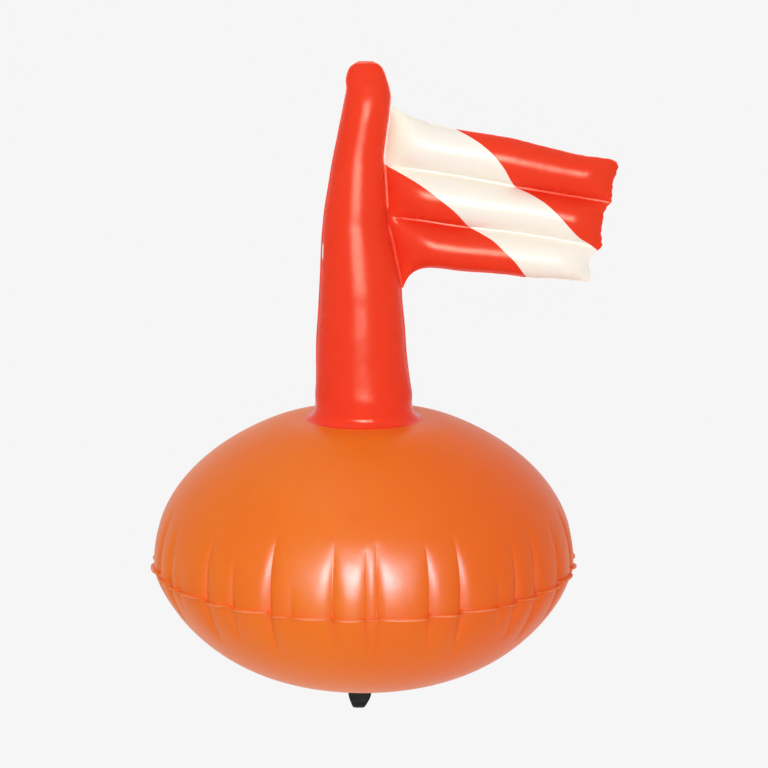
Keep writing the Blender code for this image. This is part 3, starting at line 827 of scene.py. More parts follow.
@dataclass(frozen=True)
class BallShape:
    """The flattened ball: its profile above and below the seam, and the creases round the seam."""

    radius: float = 0.187
    crown: float = 0.1443
    # Where the crown flattens round the mast, and how sharply
    crown_flat: float = 0.1303
    flat_power: float = 60.0
    belly: float = 0.1046
    # Powers of the profile's radius and height
    crown_powers: tuple[float, float] = (1.22, 0.909)
    belly_powers: tuple[float, float] = (0.735, 1.48)
    film: float = 0.0006
    flange: float = 0.0030
    air_hole: float = 0.030
    front_creases: tuple[Crease, ...] = (
        Crease(-64.5, 0.0046, 0.052, 0.036),
        Crease(-58.0, 0.0020, 0.026, 0.018),
        Crease(-46.2, 0.0052, 0.058, 0.042),
        Crease(-36.4, 0.0040, 0.044, 0.034),
        Crease(-25.0, 0.0058, 0.066, 0.046),
        Crease(-18.5, 0.0018, 0.026, 0.018),
        Crease(-7.8, 0.0052, 0.060, 0.040),
        Crease(1.1, 0.0044, 0.058, 0.038),
        Crease(3.9, 0.0048, 0.062, 0.044),
        Crease(17.7, 0.0046, 0.058, 0.040),
        Crease(26.6, 0.0056, 0.062, 0.044),
        Crease(37.9, 0.0022, 0.028, 0.020),
        Crease(44.8, 0.0048, 0.050, 0.038),
        Crease(53.6, 0.0055, 0.062, 0.044),
        Crease(66.0, 0.0045, 0.052, 0.038),
    )
    # The creases behind: how many, how far each may stray, their ranges, and how faint every fourth is
    back_creases: int = 18
    back_stray: float = 0.24
    back_depth: tuple[float, float] = (0.0044, 0.0058)
    back_rise: tuple[float, float] = (0.048, 0.066)
    back_fall: tuple[float, float] = (0.036, 0.046)
    back_faint: float = 0.45
    seed: int = 7

    def creases(self) -> list[Crease]:
        """Lists the creases all round.

        Returns:
            The creases that the front shows, and ones like them behind, by rising angle.
        """
        rng = np.random.default_rng(self.seed)
        first, last = self.front_creases[0].angle + 360.0, self.front_creases[-1].angle
        step = (first - last) / (self.back_creases + 1)
        ranges = (self.back_depth, self.back_rise, self.back_fall)
        behind = []
        for k in range(self.back_creases):
            faint = self.back_faint if k % 4 == 2 else 1.0
            angle = last + step * (k + 1) + rng.uniform(-self.back_stray, self.back_stray) * step
            behind.append(Crease(angle, *(faint * rng.uniform(*limits) for limits in ranges)))
        return list(self.front_creases) + behind

    def height(self, radius: np.ndarray | float, half: Half) -> np.ndarray:
        """Height of the plain surface above or below the seam.

        Args:
            radius: Distance from the ball's axis.
            half: Which half.

        Returns:
            The height, negative below.
        """
        power = self.crown_powers[0] if half is Half.UPPER else self.belly_powers[0]
        turn = np.arccos(share_of(np.asarray(radius) / self.radius) ** (1 / power))
        return half.value * self.profile(turn, half)[1]

    def profile(self, turn: np.ndarray, half: Half) -> tuple[np.ndarray, np.ndarray]:
        """The ball's section, drawn flat round the mast.

        Args:
            turn: The angle along the section, 0 at the seam.
            half: Which half.

        Returns:
            The radius and the distance from the seam's plane.
        """
        power, rise = self.crown_powers if half is Half.UPPER else self.belly_powers
        sine = np.sin(np.clip(turn, 0.0, QUARTER_TURN))
        radius = self.radius * share_of(np.cos(turn)) ** power
        if half is Half.LOWER:
            return radius, self.belly * sine**rise
        tall = self.crown * sine**rise
        return radius, tall * (1 + (tall / self.crown_flat) ** self.flat_power) ** (-1 / self.flat_power)


@dataclass
class Ball:
    """The two welded film panels of the ball."""

    shape: BallShape
    columns_per_bulge: int = 18
    rings: int = 60
    # How much closer columns lie beside a crease, and rings beside the seam
    column_pull: float = 0.11
    ring_pull: float = 1.25
    # Half-widths of a crease's groove at its end and at the seam, and how round its bottom is
    groove: tuple[float, float] = (0.0036, 0.0056)
    groove_power: float = 1.15
    # Largest jump of the seam's height across a crease, and the height over which it dies out
    pleat: float = 0.0032
    pleat_height: float = 0.009
    # How strong the painted shade in the creases and the painted highlight on the rim's weld are
    crease_shade_mark: float = 0.4
    weld_highlight_mark: float = 0.62
    # The film lies flat within the first of these distances from the valve, and is round past the second
    valve_flat: tuple[float, float] = (0.0145, 0.030)
    # Film that lies further than this over or under the valve's seat is another part of the ball
    valve_reach: float = 0.02
    valve_hole: float = 0.0058
    # How a crease dies out with height, how its painted shade follows its depth, and how the painted
    # highlight on the rim's weld stops at it
    depth_power: float = 0.75
    crease_shade_power: float = 1.5
    weld_highlight_power: float = 2.5

    def __post_init__(self) -> None:
        """Lists the creases, their sizes and the bulges' widths."""
        self.creases = self.shape.creases()
        self.sides = len(self.creases) * self.columns_per_bulge
        self.depths, self.rises, self.falls = np.array([(c.depth, c.rise, c.fall) for c in self.creases]).T
        angles = np.array([c.angle for c in self.creases] + [self.creases[0].angle + 360.0])
        self.widths = np.radians(np.diff(angles)) * self.shape.radius
        self.edges = np.radians(angles)

    def _columns(self) -> tuple[np.ndarray, np.ndarray, np.ndarray]:
        """Angles of the columns, and the crease before each with the share of the way to the next.

        Returns:
            The angles in radians from the front, the crease numbers and the shares.
        """
        number = np.arange(self.sides) // self.columns_per_bulge
        even = (np.arange(self.sides) % self.columns_per_bulge) / self.columns_per_bulge
        share = even - self.column_pull * np.sin(FULL_TURN * even)
        return self.edges[number] + share * (self.edges[number + 1] - self.edges[number]), number, share

    def _gather(
        self, column: np.ndarray, z: np.ndarray
    ) -> tuple[np.ndarray, np.ndarray, np.ndarray, np.ndarray]:
        """How the creases pull the film at a column and height.

        Args:
            column: Column numbers.
            z: Heights from the seam.

        Returns:
            How far the film is drawn in, how deep it lies in a crease from 0 to 1, the pleats' lift, and how
            far it is out of the creases from 0 to 1.
        """
        _, number, share = self._columns()
        k, s = number[column], share[column]
        after = (k + 1) % len(self.creases)

        def pull(crease: np.ndarray, distance: np.ndarray) -> tuple[np.ndarray, np.ndarray]:
            """Reads one crease at a distance.

            Args:
                crease: Crease numbers.
                distance: Distances from the crease along the seam.

            Returns:
                How far it draws the film in, and its groove there from 0 to 1.
            """
            reach = np.where(z >= 0, self.rises[crease], self.falls[crease])
            left = share_of(1 - np.abs(z) / reach)
            width = self.groove[0] + (self.groove[1] - self.groove[0]) * left
            groove = np.exp(-((distance / width) ** self.groove_power))
            return self.depths[crease] * left**self.depth_power * groove, groove

        here, groove_here = pull(k, s * self.widths[k])
        there, groove_there = pull(after, (1 - s) * self.widths[k])
        drawn = np.minimum(here + there, np.maximum(self.depths[k], self.depths[after]))
        # How much painted shade a crease gets from its depth
        deep = share_of(drawn / self.depths.max()) ** self.crease_shade_power
        turned = np.sin(np.radians([crease.angle for crease in self.creases]))
        jump = self.pleat * np.sign(turned) * share_of(np.abs(turned) * 4) * self.depths / self.depths.max()
        lift = jump[k] / 2 * (1 - s) - jump[after] / 2 * s
        flat = 1 - share_of(groove_here + groove_there)
        return drawn, deep, lift, flat

    def _mapped(
        self, column: np.ndarray, ring: np.ndarray, half: Half
    ) -> tuple[np.ndarray, np.ndarray, np.ndarray]:
        """Gives the panel's outer surface.

        Args:
            column: Column numbers round the ball.
            ring: -1 at the flange's rim, 0 where the flange leaves the ball, 1 at the mast or the belly's
                middle.
            half: Which half of the ball.

        Returns:
            The points, the painted shade of the creases, and the painted highlight on the rim's weld, 0 to 1.
        """
        shape = self.shape
        end = QUARTER_TURN
        if half is Half.UPPER:
            end = math.acos((shape.air_hole / shape.radius) ** (1 / shape.crown_powers[0]))
        column = column.astype(int) % self.sides
        angle = self._columns()[0][column]
        rim = share_of(-ring)
        r, z = shape.profile(end * share_of(ring) ** self.ring_pull, half)
        drawn, deep, lift, flat = self._gather(column, half.value * z)
        r = r - drawn + rim * shape.flange
        up = half.value * (z + SEAL / 2 + shape.film) + lift * np.exp(-z / self.pleat_height)
        points = np.column_stack((r * np.sin(angle), -r * np.cos(angle), up))
        # Painted highlight on the rim's weld: brighter in front and in the middles of the bulges, none at the
        # creases
        lit = 0.5 + 0.5 * share_of(np.cos(angle)) ** 4
        weld_highlight_share = (rim > 0) * self.weld_highlight_mark * lit * flat**self.weld_highlight_power
        return points, self.crease_shade_mark * deep, weld_highlight_share

    def panel(self, half: Half) -> Piece:
        """Makes one half of the ball from a grid rolled round its axis.

        Args:
            half: Which half.

        Returns:
            The finished film.
        """
        name = "ball_upper_film" if half is Half.UPPER else "ball_lower_film"
        columns = np.arange(self.sides + 1.0)
        rings = np.concatenate(([-1.0, -0.67, -0.33], np.linspace(0.0, 1.0, self.rings + 1)))
        points, painted_light_share, weld_highlight_share = self._mapped(*stations(columns, rings), half)
        piece = Piece.film(name, columns, rings, lambda column, ring: points)
        piece.paint("painted_light", painted_light_share)
        piece.paint("weld", weld_highlight_share)
        piece.weld()
        self._seat_valve(piece)
        piece.face_along(Vector((0.0, 0.0, half.value)))
        return piece

    def _seat_valve(self, piece: Piece) -> None:
        """Flattens the film under the valve's flange.

        Args:
            piece: The panel, in the ball's frame.
        """
        to_valve, back = np.array(VALVE_SEAT.inverted()), np.array(VALVE_SEAT)
        local = (piece.points + BALL_ORIGIN) @ to_valve[:3, :3].T + to_valve[:3, 3]
        near = 1 - fade(np.hypot(local[:, 0], local[:, 1]), *self.valve_flat)
        near[np.abs(local[:, 2]) > self.valve_reach] = 0.0
        local[:, 2] -= near * local[:, 2]
        piece.points = local @ back[:3, :3].T + back[:3, 3] - BALL_ORIGIN

    def build(self) -> None:
        """Makes both panels and fastens them."""
        for half, node in ((Half.UPPER, "upper_panel"), (Half.LOWER, "lower_panel")):
            piece = self.panel(half)
            piece.settle()
            piece.thicken(self.shape.film)
            if half is Half.UPPER:
                cutter = Piece.cylinder("valve_hole", self.valve_hole, -0.01, 0.01, 48)
                cutter.settle(VALVE_SEAT)
                piece.drill(cutter)
            piece.smooth(60.0)
            piece.finish(BALL_VINYL.material(), Slot.BALL_FILM, Body.BUOY, [node])


@dataclass(frozen=True)
class MastShape:
    """The air-filled mast: its two side welds in the ball's frame as (height, x), and its film."""

    foot: float = 0.149082
    foot_radius: float = 0.0428
    # Height over which the round foot turns into two films that are welded at their sides
    foot_length: float = 0.045
    tip: float = 0.444082
    tip_length: float = 0.048
    tip_weld: float = 0.002
    weld: float = 0.0010
    film: float = 0.0005
    depth: float = 1.02
    # Height of the painted glint by the left weld, and its half-length with and without its soft ends
    glint_spot: float = 0.2800
    glint_length: tuple[float, float] = (0.0045, 0.0085)
    # The collar's flare: its width and height in front, and how much more its sides have
    flare_width: tuple[float, float] = (0.0074, 0.0014)
    flare_height: tuple[float, float] = (0.0072, 0.0046)
    collar_film: float = 0.0009
    lip: float = 0.0008
    # Height and longest wave of the films' unevenness
    uneven: tuple[float, float] = (0.00016, 0.13)
    # How bright the painted highlight along the side welds and the painted glint are, and where across the
    # film the glint fades in and out
    weld_highlight_mark: float = 0.08
    glint_mark: float = 1.9
    glint_start: tuple[float, float] = (0.78, 0.82)
    glint_end: tuple[float, float] = (0.89, 0.93)
    left: SmoothLine = SmoothLine(
        (
            (0.149082, -0.0428), (0.1535, -0.04277), (0.164, -0.0421), (0.200, -0.0417), (0.227, -0.0399),
            (0.262, -0.0380), (0.289, -0.0368), (0.315, -0.0343), (0.337, -0.0307), (0.359, -0.0270),
            (0.376, -0.0235), (0.3935, -0.0200), (0.411, -0.0164), (0.421, -0.0147), (0.428, -0.0151),
            (0.435, -0.0136), (0.4400, -0.0106), (0.444082, -0.0040),
        )
    )  # fmt: skip
    hoist: SmoothLine = SmoothLine(
        (
            (0.149082, 0.0428), (0.1535, 0.0427), (0.164, 0.0410), (0.187, 0.0381), (0.214, 0.0362),
            (0.236, 0.0340), (0.249, 0.0332), (0.280, 0.0272), (0.296, 0.0236), (0.304, 0.0216),
            (0.317, 0.0210), (0.354, 0.0186), (0.360, 0.0179), (0.376, 0.0196), (0.3935, 0.0221),
            (0.404, 0.0233), (0.413, 0.0239), (0.420, 0.0230), (0.428, 0.0206), (0.4365, 0.0176),
            (0.4412, 0.0138), (0.444082, 0.0080),
        )
    )  # fmt: skip

    @property
    def tip_start(self) -> float:
        """Height where the mast begins to close."""
        return self.tip - self.tip_weld - self.tip_length


@dataclass
class Mast:
    """The mast's front and back films, and the flared collar that joins them to the ball."""

    shape: MastShape
    ball: BallShape
    collar_segments: int = 160
    columns: int = 72

    def _place(self, side: Side) -> Place:
        """Gives the mast's outer surface on one side.

        Args:
            side: Front or back.

        Returns:
            A function of the station across, -2 to 2, and the height.
        """
        shape = self.shape

        def place(across: np.ndarray, z: np.ndarray) -> np.ndarray:
            """Draws the film, which ends at -1 and 1, and the welded edge beyond.

            Args:
                across: Stations across the film.
                z: Heights.

            Returns:
                The points, one row each.
            """
            left, hoist = shape.left.at(z), shape.hoist.at(z)
            middle, half = (left + hoist) / 2, (hoist - left) / 2
            grown = fade(z, shape.foot, shape.foot + shape.foot_length)
            weld = shape.weld * grown
            inside = half - weld
            turn = QUARTER_TURN * (1 - np.clip(across, -1.0, 1.0))
            x = middle + inside * np.cos(turn)
            edge = middle + np.sign(across) * (inside + weld * (np.abs(across) - 1))
            x = np.where(np.abs(across) > 1, edge, x)
            into_tip = share_of((z - shape.tip_start) / shape.tip_length)
            closing = np.sqrt(share_of(1 - into_tip**2))
            ratio = 1.0 + (shape.depth - 1.0) * grown
            tall, longest = shape.uneven
            uneven = tall * grown * waves(x * 1.5, z, MAST_SEED + side.value, longest)
            depth = (ratio * inside * closing + uneven * closing) * np.sin(turn)
            flat = (SEAL / 2 + shape.film) * grown
            return np.column_stack((x, side.value * (flat + depth), z))

        return place

    def _painted_highlights(self, across: np.ndarray, high: np.ndarray, side: Side) -> np.ndarray:
        """Paints a faint highlight along the film's welds, and a glint at one spot by the left one.

        Args:
            across: Stations across the film.
            high: Heights.
            side: Front or back.

        Returns:
            A weld mark for each point.
        """
        shape = self.shape
        edge = np.abs(across)
        along = fade(high, shape.foot, shape.foot + 0.01)
        along = along * (1 - fade(high, shape.tip - 0.026, shape.tip - 0.014))
        # A painted glint by the left weld, on the front film only
        beside = fade(edge, *shape.glint_start) * (1 - fade(edge, *shape.glint_end))
        spot = (across < 0) * (1 - fade(np.abs(high - shape.glint_spot), *shape.glint_length)) * beside
        # A faint painted highlight along the side welds
        pale = shape.weld_highlight_mark * along * fade(edge, 0.995, 1.5)
        return pale + shape.glint_mark * spot * (side is Side.FRONT)

    def panel(self, side: Side) -> Piece:
        """Makes one film of the mast.

        Args:
            side: Front or back.

        Returns:
            The finished film.
        """
        shape = self.shape
        columns = np.concatenate(([-2.0, -1.5], np.linspace(-1.0, 1.0, self.columns + 1), [1.5, 2.0]))
        body = runs((shape.foot, shape.foot + 0.012, 8), (shape.foot + 0.012, shape.tip_start, 110))
        closing = shape.tip_start + shape.tip_length * np.sin(np.linspace(0.0, QUARTER_TURN, 44)[1:])
        rows = np.concatenate((body, closing, [shape.tip - 0.0018, shape.tip]))
        name = "mast_front_film" if side is Side.FRONT else "mast_back_film"
        piece = Piece.film(name, columns, rows, self._place(side))
        piece.face_along(side.outward)
        piece.paint("weld", self._painted_highlights(*stations(columns, rows), side))
        return piece

    def collar(self) -> Piece:
        """Makes the flared ring at the mast's foot.

        Returns:
            The ring, whose top edge meets the mast's films.
        """
        shape, ball = self.shape, self.ball

        def place(angle: np.ndarray, v: np.ndarray) -> np.ndarray:
            """Draws the ring: its lip from -1 to 0, the flare from 0 to 1, the wall from 1 to 2.

            Args:
                angle: Turn round the mast, in radians.
                v: Stations from the lip to the top.

            Returns:
                The points, one row each.
            """
            aside = np.abs(np.sin(angle)) ** 1.6
            width = shape.flare_width[0] + shape.flare_width[1] * aside
            tall = shape.flare_height[0] + shape.flare_height[1] * aside
            outer = shape.foot_radius + width
            seat = ball.height(outer, Half.UPPER) + shape.lip
            bend = share_of(v) * QUARTER_TURN
            r = outer - width * np.sin(bend)
            z = seat + tall * (1 - np.cos(bend))
            z = z + share_of(v - 1.0) * (shape.foot - seat - tall)
            lip = share_of(-v)
            r = r + 0.0006 * np.sin(lip * QUARTER_TURN)
            z = z - (shape.lip + 0.0004) * lip
            return np.column_stack((r * np.sin(angle), -r * np.cos(angle), z))

        rows = runs((-1.0, 0.0, 5), (0.0, 1.0, 22), (1.0, 2.0, 8))
        piece = Piece.lathe("mast_flare", self.collar_segments, rows, place)
        piece.face_along(Vector((0.0, 0.0, 1.0)))
        return piece

    def build(self) -> None:
        """Makes the films and the ring, and fastens them."""
        shape = self.shape
        for piece, film, finish, node in (
            (self.panel(Side.FRONT), shape.film, MAST_VINYL, "mast_front_panel"),
            (self.panel(Side.BACK), shape.film, MAST_VINYL, "mast_back_panel"),
            (self.collar(), shape.collar_film, COLLAR_VINYL, "mast_collar"),
        ):
            piece.settle()
            piece.thicken(film)
            piece.smooth(50.0)
            piece.finish(finish.material(), Slot.SIGNAL_FILM, Body.BUOY, [node])


@dataclass(frozen=True)
class FlagShape:
    """The flag: three tubes between four weld lines as (x, height), and its fly as (height, x)."""

    bottom: SmoothLine = SmoothLine(
        (
            (0.0334, 0.2460), (0.0354, 0.2510), (0.0389, 0.2570), (0.0450, 0.2618), (0.0537, 0.2643),
            (0.0668, 0.2638), (0.0799, 0.2620), (0.0930, 0.2608), (0.1192, 0.2590), (0.1429, 0.2560),
            (0.1717, 0.2543), (0.1957, 0.2520),
        )
    )  # fmt: skip
    lower_weld: SmoothLine = SmoothLine(
        (
            (0.0216, 0.3095), (0.0492, 0.3060), (0.0849, 0.3008), (0.1189, 0.2970), (0.1538, 0.2920),
            (0.1887, 0.2856), (0.2055, 0.2805),
        )
    )  # fmt: skip
    upper_weld: SmoothLine = SmoothLine(
        (
            (0.0188, 0.3545), (0.0344, 0.3520), (0.0665, 0.3474), (0.1029, 0.3412), (0.1359, 0.3350),
            (0.1707, 0.3290), (0.1968, 0.3248), (0.2130, 0.3218),
        )
    )  # fmt: skip
    top: SmoothLine = SmoothLine(
        (
            (0.0237, 0.4060), (0.0317, 0.4010), (0.0490, 0.3935), (0.0663, 0.3882), (0.0792, 0.3857),
            (0.1009, 0.3822), (0.1268, 0.3780), (0.1529, 0.3715), (0.1700, 0.3672), (0.1876, 0.3633),
            (0.2050, 0.3608), (0.2150, 0.3596), (0.2195, 0.3568),
        )
    )  # fmt: skip
    fly: SmoothLine = SmoothLine(
        (
            (0.2520, 0.1957), (0.2580, 0.1975), (0.2690, 0.1962), (0.2770, 0.1993), (0.2805, 0.2050),
            (0.2845, 0.2071), (0.2980, 0.2062), (0.3050, 0.2076), (0.3120, 0.2080), (0.3175, 0.2110),
            (0.3230, 0.2148), (0.3330, 0.2150), (0.3410, 0.2165), (0.3500, 0.2192), (0.3568, 0.2195),
        )
    )  # fmt: skip
    film: float = 0.0005
    # Half the thickness of each tube as a share of its width, and how far its crest lies off the middle
    fullness: tuple[float, float, float] = (0.38, 0.37, 0.40)
    low_crest: tuple[float, float, float] = (0.10, 0.05, -0.04)
    hinge_gap: float = 0.0008
    rim: float = 0.0005
    weld: float = 0.0016
    # How far from the hoist the lower and the upper weld begin
    weld_starts: tuple[float, float] = (0.0080, 0.0125)
    hoist_taper: float = 0.036
    fly_taper: float = 0.027
    # Height and spacing of the puckers at the fly and of the gathers at the hoist
    puckers: tuple[float, float] = (0.00025, 0.0115)
    gathers: tuple[float, float] = (0.0003, 0.009)
    uneven: float = 0.0003
    # Height and longest wave of the crinkles at the fly's edge and along the long edges
    fly_crinkle: tuple[float, float] = (0.00045, 0.008)
    edge_crinkle: tuple[float, float] = (0.0002, 0.014)
    # How full the film stays where a weld has not begun yet
    join_fullness: float = 0.4
    # The hoist weld: half its width and thickness, and the airway into the flag
    hoist_weld: tuple[float, float] = (0.0010, 0.0009)
    airway: float = 0.3095
    airway_size: tuple[float, float] = (0.0030, 0.0058)


@dataclass
class Flag:
    """The flag's two films, its stripe, and the weld that hangs it on the mast."""

    shape: FlagShape
    mast: MastShape
    tube_rows: int = 30
    columns: int = 150
    # How much closer columns lie at the hoist and the fly
    column_pull: float = 0.10
    # Half the angle of the arc that each inflated tube's section follows
    arc: float = math.radians(72)
    # The flag's usual length and a tube's usual width, for shares that are set in metres
    usual_length: float = 0.185
    usual_width: float = 0.045

    def _outline(self, along: np.ndarray, across: np.ndarray) -> tuple[np.ndarray, np.ndarray]:
        """Gives the flag's plane.

        Args:
            along: 0 to 1 from hoist to fly.
            across: 0 to 3 from bottom to top.

        Returns:
            x and height in the ball's frame.
        """
        shape = self.shape
        lines = (shape.bottom, shape.lower_weld, shape.upper_weld, shape.top)
        tube = np.clip(across.astype(int), 0, 2)
        share = across - tube
        starts = np.array([line.points[0][0] for line in lines])
        ends = np.array([line.points[-1][0] for line in lines])

        def on_line(line: np.ndarray, station: np.ndarray) -> tuple[np.ndarray, np.ndarray]:
            """Reads one of the four lines.

            Args:
                line: Line numbers from the bottom.
                station: 0 to 1 from hoist to fly.

            Returns:
                x and height there.
            """
            x = starts[line] + station * (ends[line] - starts[line])
            heights = np.stack([curve.at(x) for curve in lines])
            return x, np.take_along_axis(heights, line[None, :], axis=0)[0]

        def in_tube(station: np.ndarray) -> tuple[np.ndarray, np.ndarray]:
            """Reads between the two lines of each point's own tube.

            Args:
                station: 0 to 1 from hoist to fly.

            Returns:
                x and height there.
            """
            x0, z0 = on_line(tube, station)
            x1, z1 = on_line(tube + 1, station)
            return x0 + share * (x1 - x0), z0 + share * (z1 - z0)

        x, z = in_tube(along)
        start_x, start_z = in_tube(np.zeros_like(along))
        end_x, end_z = in_tube(np.ones_like(along))
        hoist_fit = (self.mast.hoist.at(start_z) - start_x) * (1 - along) ** 3
        tall, longest = shape.fly_crinkle
        fly_x = shape.fly.at(end_z) - end_x + tall * waves(end_z, 0.0, FLY_SEED, longest)
        fly_fit = fly_x * along**8
        outer_edge = share_of(1 - np.minimum(across, 3 - across) / 0.25)
        tall, longest = shape.edge_crinkle
        crinkle = tall * waves(x, 0.0, EDGE_SEED, longest) * outer_edge * fade(along, 0.15, 0.9)
        return x + shape.hinge_gap + hoist_fit + fly_fit, z + crinkle

    def _arch(self, across: np.ndarray, width: np.ndarray) -> np.ndarray:
        """Gives the section of the inflated tubes.

        Args:
            across: 0 to 3 from bottom to top.
            width: Width of each point's own tube.

        Returns:
            0 at the tube's welds to 1 at its crest.
        """
        shape = self.shape
        tube = np.clip(across.astype(int), 0, 2)
        low = np.where(tube == 0, shape.rim, shape.weld / 2) / width
        high = np.where(tube == 2, shape.rim, shape.weld / 2) / width
        inside = share_of((across - tube - low) / (1 - low - high))
        station = 2 * inside - 1
        station = station + np.array(shape.low_crest)[tube] * (1 - station**2)
        arch = np.sqrt(share_of(1 - (station * math.sin(self.arc)) ** 2)) - math.cos(self.arc)
        return arch / (1 - math.cos(self.arc))

    def _bulge(self, along: np.ndarray, across: np.ndarray, x: np.ndarray, z: np.ndarray) -> np.ndarray:
        """Gives half the flag's thickness outside its welds.

        Args:
            along: 0 to 1 from hoist to fly.
            across: 0 to 3 from bottom to top.
            x: The points' x.
            z: The points' height.

        Returns:
            The height of the film over the weld plane.
        """
        shape = self.shape
        tube = np.clip(across.astype(int), 0, 2)
        zero = np.zeros_like(along)
        _, low_z = self._outline(along, tube + zero)
        _, high_z = self._outline(along, tube + 1 - 1e-9 + zero)
        width = high_z - low_z
        arch = self._arch(across, width)
        from_hoist = x - self._outline(zero, across)[0]
        to_fly = self._outline(zero + 1, across)[0] - x
        lower = across < 1.5
        weld_start = np.where(lower, shape.weld_starts[0], shape.weld_starts[1])
        beside = np.abs(across - np.where(lower, 1.0, 2.0))
        joined = (1 - fade(from_hoist, weld_start - 0.009, weld_start + 0.006)) * (1 - fade(beside, 0.0, 0.6))
        arch = arch + joined * shape.join_fullness * (1 - arch) ** 2
        hoist_end = share_of((from_hoist - shape.rim * 0.6) / shape.hoist_taper)
        fly_end = share_of((to_fly - shape.rim) / shape.fly_taper)
        ends = np.sin(QUARTER_TURN * hoist_end) ** 0.85 * np.sin(QUARTER_TURN * fly_end) ** 0.75
        full = np.array(shape.fullness)[tube] * width * arch * ends
        tall, spacing = shape.puckers
        puckers = tall * np.sin(FULL_TURN * (z + 0.15 * x) / spacing + 3 * across)
        puckers = puckers * (1 - fade(to_fly, 0.004, 0.024))
        tall, spacing = shape.gathers
        gathers = tall * np.sin(FULL_TURN * z / spacing) * (1 - fade(from_hoist, 0.003, 0.020))
        uneven = shape.uneven * waves(x, z * 1.6, FLAG_SEED, 0.16)
        film = full + (puckers + gathers + uneven) * share_of(arch) * share_of(ends * 1.6)
        return np.clip(film, 0.0, None)

    def surface(self, along: np.ndarray, across: np.ndarray, side: Side) -> np.ndarray:
        """Gives the outer face of the flag's film.

        Args:
            along: 0 to 1 from hoist to fly.
            across: 0 to 3 from bottom to top.
            side: Front or back.

        Returns:
            Points in the ball's frame.
        """
        x, z = self._outline(along, across)
        y = side.value * (SEAL / 2 + self.shape.film + self._bulge(along, across, x, z))
        return np.column_stack((x, y, z))

    def rows(self) -> np.ndarray:
        """Stations across the flag, closer together beside the welds.

        Returns:
            Values from 0 to 3.
        """
        rows = [np.array([0.0])]
        turns = (1 - np.cos(np.linspace(0.0, math.pi, self.tube_rows + 1))) / 2
        for tube in range(3):
            low = (self.shape.rim if tube == 0 else self.shape.weld / 2) / self.usual_width
            high = (self.shape.rim if tube == 2 else self.shape.weld / 2) / self.usual_width
            rows.append(tube + low + turns * (1 - low - high))
        return np.concatenate(rows + [np.array([3.0])])

    def weld_highlights(self, along: np.ndarray, across: np.ndarray, wide: float = 1.0) -> np.ndarray:
        """Paints a highlight along the welds, where the film is welded flat.

        Args:
            along: 0 to 1 from hoist to fly.
            across: 0 to 3 from bottom to top.
            wide: How wide the mark is, 1 on the red film.

        Returns:
            A mark from 0 to 1 for each point.
        """
        starts = self.shape.weld_starts
        near = np.abs(across - np.rint(across)) / wide
        inner = (across > 0.5) & (across < 2.5)
        first = np.where(across < 1.5, starts[0], starts[1]) / self.usual_length
        # Painted highlight along each inner weld line, fading out before the fly, and a brighter dot where
        # each weld begins
        start = 0.4 * (1 - fade(np.abs(along - first - 0.003), 0.002, 0.007))
        line = 0.5 * fade(along, first - 0.006, first) * (1 - fade(along, 0.84, 0.95))
        return inner * (1 - fade(near, 0.004, 0.020)) * (line + start)

    def film(self, side: Side) -> Piece:
        """Makes one film of the flag.

        Args:
            side: Front or back.

        Returns:
            The finished film.
        """
        name = "flag_front_film" if side is Side.FRONT else "flag_back_film"
        even = np.linspace(0.0, 1.0, self.columns + 1)
        columns, rows = even - self.column_pull * np.sin(FULL_TURN * even), self.rows()
        piece = Piece.film(name, columns, rows, lambda along, across: self.surface(along, across, side))
        piece.face_along(side.outward)
        piece.paint("weld", self.weld_highlights(*stations(columns, rows)))
        return piece

    def hoist_weld(self, name: str, low: float, high: float, finish: Finish, slot: Slot) -> None:
        """Makes one length of the narrow weld between mast and flag.

        Args:
            name: The piece's name.
            low: Height of its lower end.
            high: Height of its upper end.
            finish: Its finish.
            slot: The record's slot that it belongs to.
        """
        shape = self.shape
        line = self.mast.hoist.at(0.326) + shape.hinge_gap / 2 + BALL_ORIGIN[0]

        def place(turn: np.ndarray, z: np.ndarray) -> np.ndarray:
            """Draws the weld, which thickens where air passes into the flag.

            Args:
                turn: Turn round the weld, in radians.
                z: Heights.

            Returns:
                The points, one row each.
            """
            x = self.mast.hoist.at(z) + shape.hinge_gap / 2
            from_end = share_of(np.minimum(z - low, high - z) / 0.002)
            end = np.sqrt(share_of(1 - (1 - from_end) ** 2))
            tall, reach = shape.airway_size
            wide, thick = shape.hoist_weld
            thick = thick + tall * np.exp(-(((z - shape.airway) / reach) ** 4))
            return np.column_stack((x + wide * np.cos(turn) * end, thick * np.sin(turn) * end, z))

        piece = Piece.lathe(name, 24, np.linspace(low, high, 90), place)
        up = piece.points[:, 2]
        # Painted highlight along the hoist weld, brighter above z 0.32, and none at the airway
        pale = 0.10 + 0.38 * fade(up, 0.300, 0.320)
        piece.paint("weld", fade(np.abs(up - shape.airway), 0.007, 0.010) * pale)
        piece.settle()
        piece.smooth(60.0)
        piece.finish(finish.material(), slot, None, [])
        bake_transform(piece.obj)

    def build(self) -> None:
        """Makes both films, both stripes and the hoist weld, red below and white beside the stripe."""
        for side, node in ((Side.FRONT, "flag_front_panel"), (Side.BACK, "flag_back_panel")):
            piece = self.film(side)
            piece.settle()
            piece.thicken(self.shape.film)
            piece.smooth(50.0)
            piece.finish(SIGNAL_VINYL.material(), Slot.SIGNAL_FILM, Body.FLAG, [node])
        Stripe(self).build()
        self.hoist_weld("hoist_weld_red", 0.2465, 0.3553, SIGNAL_VINYL, Slot.SIGNAL_FILM)
        self.hoist_weld("hoist_weld_white", 0.3540, 0.4140, STRIPE_VINYL, Slot.STRIPE_FILM)


